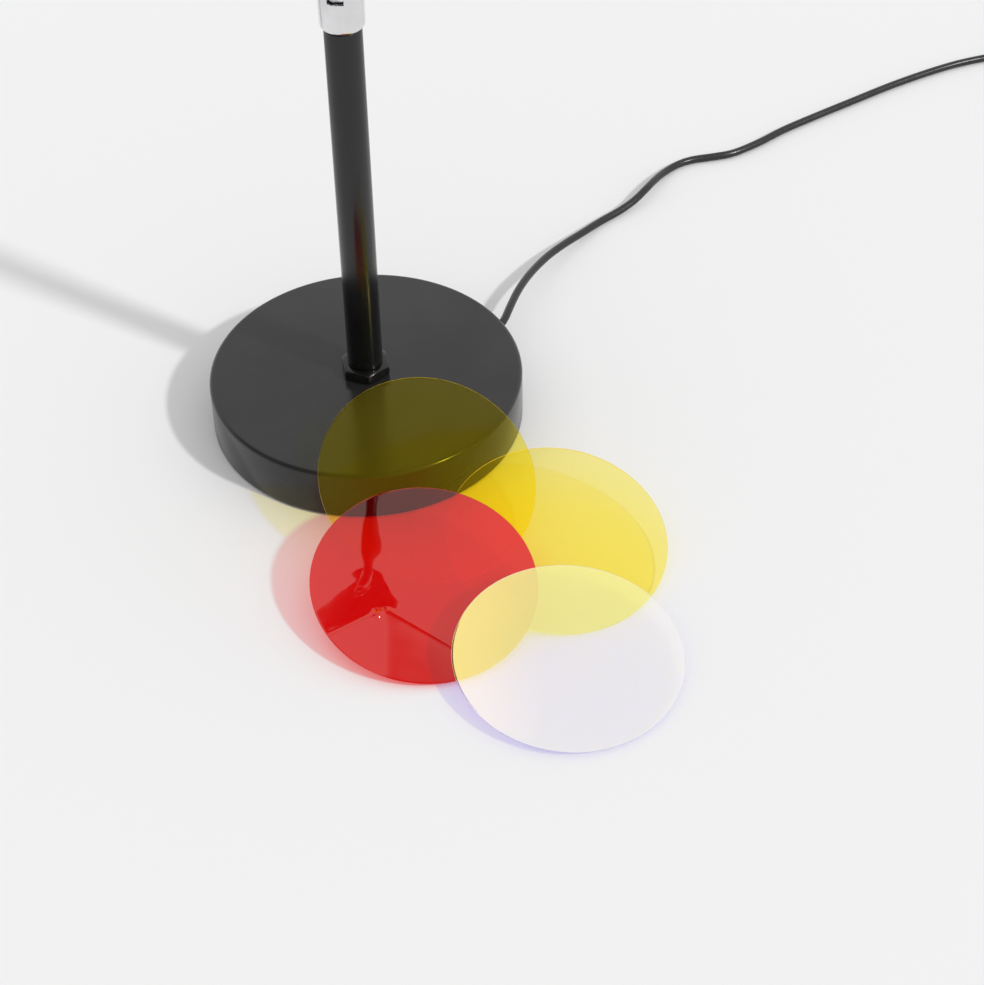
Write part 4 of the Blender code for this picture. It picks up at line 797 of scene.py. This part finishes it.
def makePlug(sizes, leadEnd, heading):
    noseLength, length, width, height, gap = pick(sizes, "noseLength", "length", "width", "height", "gap")
    shellLength, shellWidth, shellHeight, wall, root = pick(
        sizes, "shellLength", "shellWidth", "shellHeight", "shellWall", "shellRoot")
    place = Matrix.Translation(leadEnd + heading * gap) @ turned(math.atan2(heading.y, heading.x))
    middle = noseLength + length / 2
    body = addBlock("plugBody", (length, width, height), (middle, 0, 0))
    softenEdges(body, sizes["edgeRadius"], 4, 60)
    nose = makeNose("plugNose", sizes)
    nose.data.transform(Matrix.Translation((noseLength, 0, 0)) @ Matrix.Rotation(-math.pi / 2, 4, "Y"))
    cutBy(body, nose, "UNION")
    grooveSize = (sizes["grooveWidth"], sizes["grooveWidth"], height - 2 * sizes["grooveEnd"])
    for side in (-1, 1):
        for index in range(sizes["grooves"]):
            along = middle + sizes["grooveStart"] + index * sizes["grooveStep"]
            mill(body, grooveSize, (along, side * width / 2, 0))
    mouth = noseLength + length - root
    mill(body, (root + past, shellWidth + 2 * gap, shellHeight + 2 * gap),
         (mouth + (root + past) / 2 - gap / 2, 0, 0))
    shellMiddle = (mouth + shellLength / 2, 0, 0)
    shell = addBlock("plugShell", (shellLength, shellWidth, shellHeight), shellMiddle)
    roundEdgesAlong(shell, 0, sizes["shellEdge"], 4)
    mill(shell, (shellLength + 2 * past, shellWidth - 2 * wall, shellHeight - 2 * wall), shellMiddle)
    forward, sideways = sizes["windowAt"]
    for side in (-1, 1):
        mill(shell, sizes["window"], (mouth + root + forward, side * sideways, shellHeight / 2))
    finishPiece(body, mouldedPlastic, "base", ["plug_body"], place)
    finishPiece(shell, steel, "base", ["plug_shell"], place)
    return body, shell


tieSettings = {
    **inMm(thickness=0.8, width=6.0, gap=0.7, cornerRadius=1.6, edge=0.15),
    "turn": math.radians(215),
}


def makeTie(sizes, coilSet, leadRadius):
    wall, width, corner = pick(sizes, "thickness", "width", "cornerRadius")
    clearance = leadRadius + sizes["gap"]
    inner = coilSet["outerRadius"] - coilSet["turns"] / coilSet["layers"] * coilSet["pitch"] - clearance
    outer = coilSet["outerRadius"] + clearance
    low = wall
    high = coilSet["bottom"] + (coilSet["layers"] - 1) * coilSet["pitch"] + clearance
    tie = addBlock("leadTie", (outer - inner + 2 * wall, width, high - low + 2 * wall))
    hole = addBlock("tieHole", (outer - inner, width + past, high - low))
    roundEdgesAlong(tie, 1, corner + wall)
    roundEdgesAlong(hole, 1, corner)
    cutBy(tie, hole)
    softenEdges(tie, sizes["edge"], 2, 60)
    turn = turned(sizes["turn"])
    middle = coilSet["centre"] + turn @ Vector(((inner + outer) / 2, 0, (low + high) / 2))
    place = Matrix.Translation(middle) @ turn
    return finishPiece(tie, mouldedPlastic, "base", ["cord_tie"], place)


switchLower, switchUpper, pushButton = makeSwitch(switchSettings, switchMiddle)
plugBody, plugShell = makePlug(plugSettings, tail[-1], coilHeading)
leadTie = makeTie(tieSettings, coilSettings, leadSettings["radius"])
print("lead, switch, coil and plug made")


# Base and stem

baseSettings = {
    **inMm(
        radius=60.0, height=21.0, edgeRadius=1.8, rimRound=0.3, innerRound=0.8, topThickness=2.0,
        wall=1.6, lift=0.8, centreHole=5.1, exitHeight=10.5, exitHole=3.9, exitStart=50, padRadius=55.9,
        padThickness=1.5, padEdge=0.25, padHole=3.0, screwRing=48.0),
    "sides": 160, "exitTurn": math.radians(36.5), "screws": 3, "screwTurn": math.radians(6),
}


def leadExit(sizes):
    return lifted(sizes["exitHeight"]) @ turned(sizes["exitTurn"]) @ quarterY


def makeBase(sizes):
    radius, height, wall, lift, hole, inner, sides = pick(
        sizes, "radius", "height", "wall", "lift", "centreHole", "innerRound", "sides")
    inside = radius - wall
    underTop = height - sizes["topThickness"]
    shell = spinOutline("baseShell", [
        (hole, height), *topCorner(radius, height, sizes["edgeRadius"], 8),
        *bottomCorner(radius, lift, sizes["rimRound"]), (inside, lift),
        *roundCorner((inside - inner, underTop - inner), inner, 0, 90, 3), (hole, underTop)], sides)
    drill(shell, sizes["exitHole"], sizes["exitStart"], radius + past, 48, leadExit(sizes))
    finishPiece(shell, satinPaint, "base", ["base_shell"])

    thickness, screws = sizes["padThickness"], sizes["screws"]
    pad = addRod("footPad", sizes["padRadius"], 0, thickness, sides)
    softenEdges(pad, sizes["padEdge"], 2)
    for index in range(screws):
        spot = ringSpot(sizes["screwRing"], sizes["screwTurn"] + 2 * math.pi * index / screws)
        drill(pad, sizes["padHole"], -past, thickness + past, 32, spot)
    finishPiece(pad, foam, "base", ["foot_pad"])


grommetSettings = inMm(
    innerFace=57.87, outerFace=60.3, flangeRadius=5.0, flangeThickness=1.2, flangeEdge=0.3,
    neckRadius=3.6, rootRadius=3.4, rootRise=0.55, noseRadius=2.6, noseFace=63.0, bore=1.75)


def makeGrommet(sizes, base):
    bore, neck, flange, edge = pick(sizes, "bore", "neckRadius", "flangeRadius", "flangeEdge")
    innerFace, outerFace, noseFace = pick(sizes, "innerFace", "outerFace", "noseFace")
    flangeEnd = outerFace + sizes["flangeThickness"]
    innerEnd = innerFace - sizes["flangeThickness"]
    grommet = spinOutline("leadGrommet", [
        (bore, noseFace), (sizes["noseRadius"], noseFace),
        (sizes["rootRadius"], flangeEnd + sizes["rootRise"]), (flange - edge, flangeEnd),
        (flange, flangeEnd - edge), (flange, outerFace), (neck, outerFace), (neck, innerFace),
        (flange, innerFace), (flange, innerEnd), (bore, innerEnd)], 48)
    finishPiece(grommet, leadSkin, "base", ["cord_grommet"], leadExit(base))


stemSettings = {
    **inMm(
        radius=6.7, bore=5.1, bottom=26.1, top=174.1, edge=0.4, nutAcross=17.0, nutBottom=21.3,
        nutTop=25.8, nutChamfer=0.8),
    "nutTurn": math.radians(40),
}
nutSettings = inMm(faceInset=0.2, coneProud=0.1, edge=0.22)


def makeHexNut(name, across, low, high, bore, chamfer, turn, sizes=nutSettings):
    # A six-sided block whose corners are turned down by a cone at both faces
    corner = across / 2 / math.cos(math.pi / 6)
    face, outer = across / 2 - sizes["faceInset"], corner + sizes["coneProud"]
    nut = addRod(name, corner, low, high, 6, turned(turn + math.pi / 6))
    blank = spinOutline("nutBlank", [
        (0, high), (face, high), (outer, high - chamfer), (outer, low + chamfer), (face, low), (0, low)], 96)
    cutBy(nut, blank, "INTERSECT")
    drill(nut, bore, low - past, high + past, 48)
    softenEdges(nut, sizes["edge"], 3)
    return nut


def makeStem(sizes):
    radius, bore, top, bottom, edge = pick(sizes, "radius", "bore", "top", "bottom", "edge")
    tube = spinOutline("stemTube", [
        (bore, top), *topCorner(radius, top, edge), *bottomCorner(radius, bottom, edge), (bore, bottom)], 96)
    finishPiece(tube, stemPaint, "base", ["stem_tube"])
    nut = makeHexNut("stemNut", *pick(
        sizes, "nutAcross", "nutBottom", "nutTop", "bore", "nutChamfer", "nutTurn"))
    finishPiece(nut, nutFinish, "base", ["stem_nut"])


makeBase(baseSettings)
makeGrommet(grommetSettings, baseSettings)
makeStem(stemSettings)
print("base and stem made")


# Colour films, bottom one first

filmSettings = {
    "radius": 40.5 * mm,
    "thickness": 0.5 * mm,
    "edge": 0.12 * mm,
    "rimInset": 0.6 * mm,
    "rimSlope": 0.3,    # faces that look up or down less than this are the rim
    "sides": 192,
    "films": {
        "film_yellow_1": {"name": "filmYellowUpper", "finish": deepYellowFilm, "rim": yellowRimPaintedGlow,
                          "slot": "film_yellow", "place": (24.0, -60.0, 19.35), "bearing": -62, "tilt": 27.8},
        "film_yellow_2": {"name": "filmYellowRight", "finish": yellowFilm, "rim": yellowRimPaintedGlow,
                          "slot": "film_yellow", "place": (70.32, -82.8, 9.80), "bearing": -62, "tilt": 13.0},
        "film_red": {"name": "filmRed", "finish": redFilm, "rim": redRimPaintedGlow,
                     "slot": "film_red", "place": (22.68, -105.18, 11.14), "bearing": -68, "tilt": 14.0},
        "film_dichroic": {"name": "filmShift", "finish": shiftFilm, "rim": shiftRimPaintedGlow,
                          "slot": "film_pale", "place": (72.54, -136.5, 5.87), "bearing": -60, "tilt": 6.1},
    },
}


def makeFilms(sizes):
    half, slope = sizes["thickness"] / 2, sizes["rimSlope"]
    for node, film in sizes["films"].items():
        disc = addRod(film["name"], sizes["radius"], -half, half, sizes["sides"])
        selectParts(disc, "FACE", lambda face: abs(face.normal.z) > slope)
        bpy.ops.mesh.inset(thickness=sizes["rimInset"], use_individual=True)
        bpy.ops.object.mode_set(mode="OBJECT")
        softenEdges(disc, sizes["edge"], 2, 60)
        bearing = math.radians(film["bearing"])
        hinge = Vector((-math.sin(bearing), math.cos(bearing), 0))
        lean = Matrix.Rotation(math.radians(film["tilt"]), 4, hinge)
        finishPiece(disc, [film["finish"], film["rim"], filmUnderside], node, [node],
                    Matrix.Translation(Vector(film["place"]) * mm) @ lean)
        up = lean @ Vector((0, 0, 1))
        # Upper faces take the film, rim faces the painted edge glow, lower faces the underside
        for face in disc.data.polygons:
            upward = face.normal.dot(up)
            face.material_index = 0 if upward > slope else 2 if upward < -slope else 1


makeFilms(filmSettings)
print("films made")


# Knuckle between the stem and the head

knuckleSettings = {
    **inMm(
        radius=7.9, bottom=174.4, edgeRadius=1.5, slotFloor=186.4, slotWidth=5.8, pivot=196.4,
        cheekRadius=8.0, lowerBore=5.1, lowerBoreTop=183.4, wireBore=2.4, seat=6.4, seatRadius=4.2,
        pivotHole=2.3, yokeEdge=0.15, cutReach=10, tongueThickness=5.2, tongueRadius=6.9, tongueEdge=0.12,
        shoulder=8.4, shoulderEdge=0.4, neckTop=19.7, neckRound=1.0, studTop=31.3, studRadius=3.9,
        studEdge=0.4, wireHole=1.5, wireHoleFloor=4.8, crossHole=1.4, crossHeight=6.3,
        crossReach=(-8, 0.2), bladeFlat=0.02, screwGap=0.3, screwRadius=2.0, screwHead=3.7,
        screwHeadHeight=1.8, screwTip=0.3, driverSlot=(1.0, 10, 1.6), nutAcross=7.0, nutHeight=3.0,
        nutChamfer=0.4,
        screwDome=[(2.6, 0), (3.5, 0.45), (3.7, 0.8)],    # radius and depth
    ),
    "pan": math.radians(-11.5),
}
panTurn = turned(knuckleSettings["pan"])


def makeYoke(sizes):
    radius, bottom, pivot, seat = pick(sizes, "radius", "bottom", "pivot", "seat")
    lowerBore, lowerBoreTop, wireBore = pick(sizes, "lowerBore", "lowerBoreTop", "wireBore")
    cheekRadius, slotFloor, reach = pick(sizes, "cheekRadius", "slotFloor", "cutReach")
    top = pivot + radius + past
    yoke = spinOutline("chromeYoke", [
        (radius, top), *bottomCorner(radius, bottom, sizes["edgeRadius"], 6), (lowerBore, bottom),
        (lowerBore, lowerBoreTop), (wireBore, lowerBoreTop), (wireBore, top)], 80)
    pivotPlace = lifted(pivot) @ quarterY
    cheek = addRod("cheekRound", cheekRadius, -reach, reach, 95, pivotPlace)
    lower = addBlock("cheekLower", (2 * reach, 2 * cheekRadius, pivot - bottom + past),
                     (0, 0, (pivot + bottom - past) / 2))
    cutBy(cheek, lower, "UNION")
    cutBy(yoke, cheek, "INTERSECT")
    slotTop = top + past
    mill(yoke, (sizes["slotWidth"], 3 * radius, slotTop - slotFloor), (0, 0, (slotTop + slotFloor) / 2))
    drill(yoke, sizes["pivotHole"], -reach, reach, 40, pivotPlace)
    for low, high in ((seat, reach), (-reach, -seat)):
        drill(yoke, sizes["seatRadius"], low, high, 41, pivotPlace)
    softenEdges(yoke, sizes["yokeEdge"], 2, 50)
    finishPiece(yoke, chrome, "swivel", ["swivel_yoke"], panTurn)


def makePivotScrew(sizes):
    shank, tipEdge, pivotHole = pick(sizes, "screwRadius", "screwTip", "pivotHole")
    place = panTurn @ lifted(sizes["pivot"]) @ quarterY
    head = sizes["seat"] + sizes["screwGap"]
    high = head + sizes["screwHeadHeight"]
    tip = -(head + sizes["nutHeight"])
    screw = spinOutline("pivotScrew", [
        (0, high), *[(radius, high - depth) for radius, depth in sizes["screwDome"]],
        (sizes["screwHead"], head), (shank, head), (shank, tip + tipEdge), (shank - tipEdge, tip),
        (0, tip)], 48)
    mill(screw, sizes["driverSlot"], (0, 0, high))
    finishPiece(screw, steel, "swivel", ["pivot_screw"], place)
    nut = makeHexNut("pivotNut", sizes["nutAcross"], tip, -head, pivotHole, sizes["nutChamfer"], 0)
    finishPiece(nut, steel, "swivel", ["pivot_nut"], place)


def makeTongue(sizes):
    radius, neckTop, shoulder, reach = pick(sizes, "radius", "neckTop", "shoulder", "cutReach")
    stud, studTop, studEdge = pick(sizes, "studRadius", "studTop", "studEdge")
    thickness, bladeRadius = pick(sizes, "tongueThickness", "tongueRadius")
    tongue = spinOutline("chromeTongue", [
        (0, studTop), (stud - studEdge, studTop), (stud, studTop - studEdge), (stud, neckTop),
        *topCorner(radius, neckTop, sizes["neckRound"], 5),
        *bottomCorner(radius, shoulder, sizes["shoulderEdge"]), (0, shoulder)], 80)
    blade = addRod("tongueRound", bladeRadius, -thickness / 2, thickness / 2, 63, quarterY)
    upper = addBlock("tongueUpper", (thickness, 2 * bladeRadius - sizes["bladeFlat"], shoulder + past),
                     (0, 0, (shoulder + past) / 2))
    cutBy(blade, upper, "UNION")
    cutBy(tongue, blade, "UNION")
    drill(tongue, sizes["wireHole"], sizes["wireHoleFloor"], studTop + past, 32)
    drill(tongue, sizes["crossHole"], *sizes["crossReach"], 31, lifted(sizes["crossHeight"]) @ quarterX)
    drill(tongue, sizes["pivotHole"], -reach, reach, 40, quarterY)
    softenEdges(tongue, sizes["tongueEdge"], 2, 50)
    finishPiece(tongue, chrome, "head", ["swivel_tongue"], panTurn @ lifted(sizes["pivot"]))


makeYoke(knuckleSettings)
makePivotScrew(knuckleSettings)
makeTongue(knuckleSettings)
print("knuckle made")


# Head, modelled along its own axis and then turned into place

headSettings = {
    **inMm(
        axisHeight=260.7, radius=43.0, bore=41.0, front=26.0, back=-26.0, edge=0.5, flangeBore=38.0,
        flangeBack=24.0, studHole=4.2, studHoleDepth=2, coverFront=-26.3, coverBack=-36.0, coverWall=2.0,
        coverEdge=5.0, coverLip=0.4, spigotEnd=-22.0, spigotRadius=40.7, spigotBore=38.7, spigotRoot=2,
        ventRing=17.2, ventWidth=3.0, ventLength=10.0, ventFlat=0.05, screwRing=32.25, screwHole=1.8),
    "sides": 160, "vents": 10, "screws": 3,
}
rearScrewSettings = inMm(
    gap=0.3, headHeight=1.6, headRadius=2.8, shank=1.5, tip=-19.0, tipEdge=0.3, recess=(3.0, 0.6, 1.4),
    headDome=[(1.6, 0), (2.5, 0.35), (2.8, 0.9)],    # radius and height
)
headPlace = panTurn @ lifted(headSettings["axisHeight"]) @ quarterX


def makeHousing(sizes):
    radius, front, back, edge, bore = pick(sizes, "radius", "front", "back", "edge", "bore")
    flangeBore, flangeBack = pick(sizes, "flangeBore", "flangeBack")
    housing = spinOutline("headHousing", [
        (flangeBore, front), *topCorner(radius, front, edge), *bottomCorner(radius, back, edge),
        (bore, back), (bore, flangeBack), (flangeBore, flangeBack)], sizes["sides"])
    drill(housing, sizes["studHole"], bore - sizes["studHoleDepth"], radius + past, 48, quarterX)
    finishPiece(housing, satinPaint, "head", ["head_housing"], headPlace)


def makeRearCover(sizes):
    radius, wall, back, front = pick(sizes, "radius", "coverWall", "coverBack", "coverFront")
    spigot, spigotBore, spigotEnd, root = pick(
        sizes, "spigotRadius", "spigotBore", "spigotEnd", "spigotRoot")
    vents, ventWidth, screws = pick(sizes, "vents", "ventWidth", "screws")
    floor = back + wall
    cover = spinOutline("rearCover", [
        (0, floor), (spigotBore - root, floor), (spigotBore, floor + root), (spigotBore, spigotEnd),
        (spigot, spigotEnd), (spigot, front), *topCorner(radius, front, sizes["coverLip"]),
        *bottomCorner(radius, back, sizes["coverEdge"], 10), (0, back)], sizes["sides"])
    for index in range(vents):
        vent = addBlock("ventSlot", (sizes["ventLength"], ventWidth, 3 * wall),
                        (sizes["ventRing"], 0, back + wall / 2))
        roundEdgesAlong(vent, 2, ventWidth / 2 - sizes["ventFlat"])
        vent.data.transform(turned(2 * math.pi * index / vents))
        cutBy(cover, vent)
    for index in range(screws):
        spot = ringSpot(sizes["screwRing"], math.pi / 2 + 2 * math.pi * index / screws)
        drill(cover, sizes["screwHole"], back - past, back + 3 * wall, 32, spot)
        makeRearScrew(str(index + 1), back, spot, rearScrewSettings)
    finishPiece(cover, satinPaint, "head", ["rear_cover"], headPlace)


def makeRearScrew(number, back, spot, sizes):
    head, shank, tip, tipEdge = pick(sizes, "headRadius", "shank", "tip", "tipEdge")
    high = back - sizes["gap"]
    low = high - sizes["headHeight"]
    screw = spinOutline("rearScrew" + number, [
        (0, low), *[(radius, low + height) for radius, height in sizes["headDome"]], (head, high),
        (shank, high), (shank, tip - tipEdge), (shank - tipEdge, tip), (0, tip)], 40)
    for turn in (0, math.pi / 2):
        mill(screw, sizes["recess"], (0, 0, low), turned(turn))
    finishPiece(screw, steel, "head", ["rear_screw_" + number], headPlace @ spot)


opticsSettings = inMm(
    lensRadius=33.0, lensBack=11.5, lensEdgeFront=15.0, lensEdge=0.2, capRadius=30.8, capHeight=8.0,
    ringBack=15.3, ringThickness=2.0, ringOuter=40.7, ringInner=31.1, ringEdge=0.3, ringSlope=0.8,
    notch=(4, 2.4, 2.0), notchRing=35)


def makeLens(sizes):
    radius, back, front, edge = pick(sizes, "lensRadius", "lensBack", "lensEdgeFront", "lensEdge")
    capRadius, capHeight = pick(sizes, "capRadius", "capHeight")
    ball = (capRadius ** 2 + capHeight ** 2) / (2 * capHeight)
    capAngle = math.degrees(math.acos(capRadius / ball))
    lens = spinOutline("condenserLens", [
        *roundCorner((0, front + capHeight - ball), ball, 90, capAngle, 24), (radius - edge, front),
        (radius, front - edge), (radius, back + edge), (radius - edge, back), (0, back)], 128)
    finishPiece(lens, clearLens, "head", ["lens"], headPlace, 20)


def makeLensRing(sizes):
    inner, outer, back, edge, slope = pick(
        sizes, "ringInner", "ringOuter", "ringBack", "ringEdge", "ringSlope")
    front = back + sizes["ringThickness"]
    ring = spinOutline("lensRing", [
        (inner + slope, front), (outer - edge, front), (outer, front - edge), (outer, back), (inner, back),
        (inner, front - slope)], 128)
    for turn in (0, math.pi):
        centre = (sizes["notchRing"], 0, front)
        mill(ring, sizes["notch"], centre, turned(turn))
    finishPiece(ring, mouldedPlastic, "head", ["lens_ring"], headPlace)


filterRingSettings = inMm(
    outer=44.8, bore=43.3, filmBore=40.8, mouth=37.3, mouthEdge=0.3, back=20.0, backEdge=0.4,
    step=26.3, lipBack=28.3, front=30.3, edge=1.2,
    groove=[(0, 26.0), (0.5, 25.6), (0.5, 24.9), (0, 24.5)],    # depth and height
)


def makeFilterRing(sizes):
    outer, front, back, step, lipBack = pick(sizes, "outer", "front", "back", "step", "lipBack")
    bore, filmBore, mouth, mouthEdge = pick(sizes, "bore", "filmBore", "mouth", "mouthEdge")
    ring = spinOutline("filterRing", [
        (mouth + mouthEdge, front), *topCorner(outer, front, sizes["edge"], 8),
        *[(outer - depth, height) for depth, height in sizes["groove"]],
        *bottomCorner(outer, back, sizes["backEdge"]), (bore, back), (bore, step), (filmBore, step),
        (filmBore, lipBack), (mouth, lipBack), (mouth, front - mouthEdge)], 180)
    finishPiece(ring, satinPaint, "filter_ring", ["filter_ring"], headPlace)


makeHousing(headSettings)
makeRearCover(headSettings)
makeLens(opticsSettings)
makeLensRing(opticsSettings)
makeFilterRing(filterRingSettings)
print("head made")


# CAD pieces whose shape stays, with their finishes

keptNodes = {
    "base_weight": castIron, "base_plate": zinc, "base_screw_1": zinc, "base_screw_2": zinc,
    "base_screw_3": zinc, "stem_nipple": zinc, "top_nipple": zinc, "lock_washer": steel, "lock_nut": steel,
    "cord_clamp": mouldedPlastic, "clamp_screw_1": zinc, "clamp_screw_2": zinc, "inner_lead": leadSkin,
    "head_lead": leadSkin, "saddle_washer": mouldedPlastic, "stud_washer": steel, "stud_nut": steel,
    "heat_sink": aluminium, "led_board": boardWhite, "led_emitter": phosphor, "reflector": mirrorCup,
    "lens_holder": mouldedPlastic, "switch_block": boardWhite, "plug_tongue": boardWhite,
}
for node, finish in keptNodes.items():
    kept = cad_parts[node]
    kept.data.materials.clear()
    kept.data.materials.append(finish)
print("finishes given to", len(keptNodes), "kept pieces")
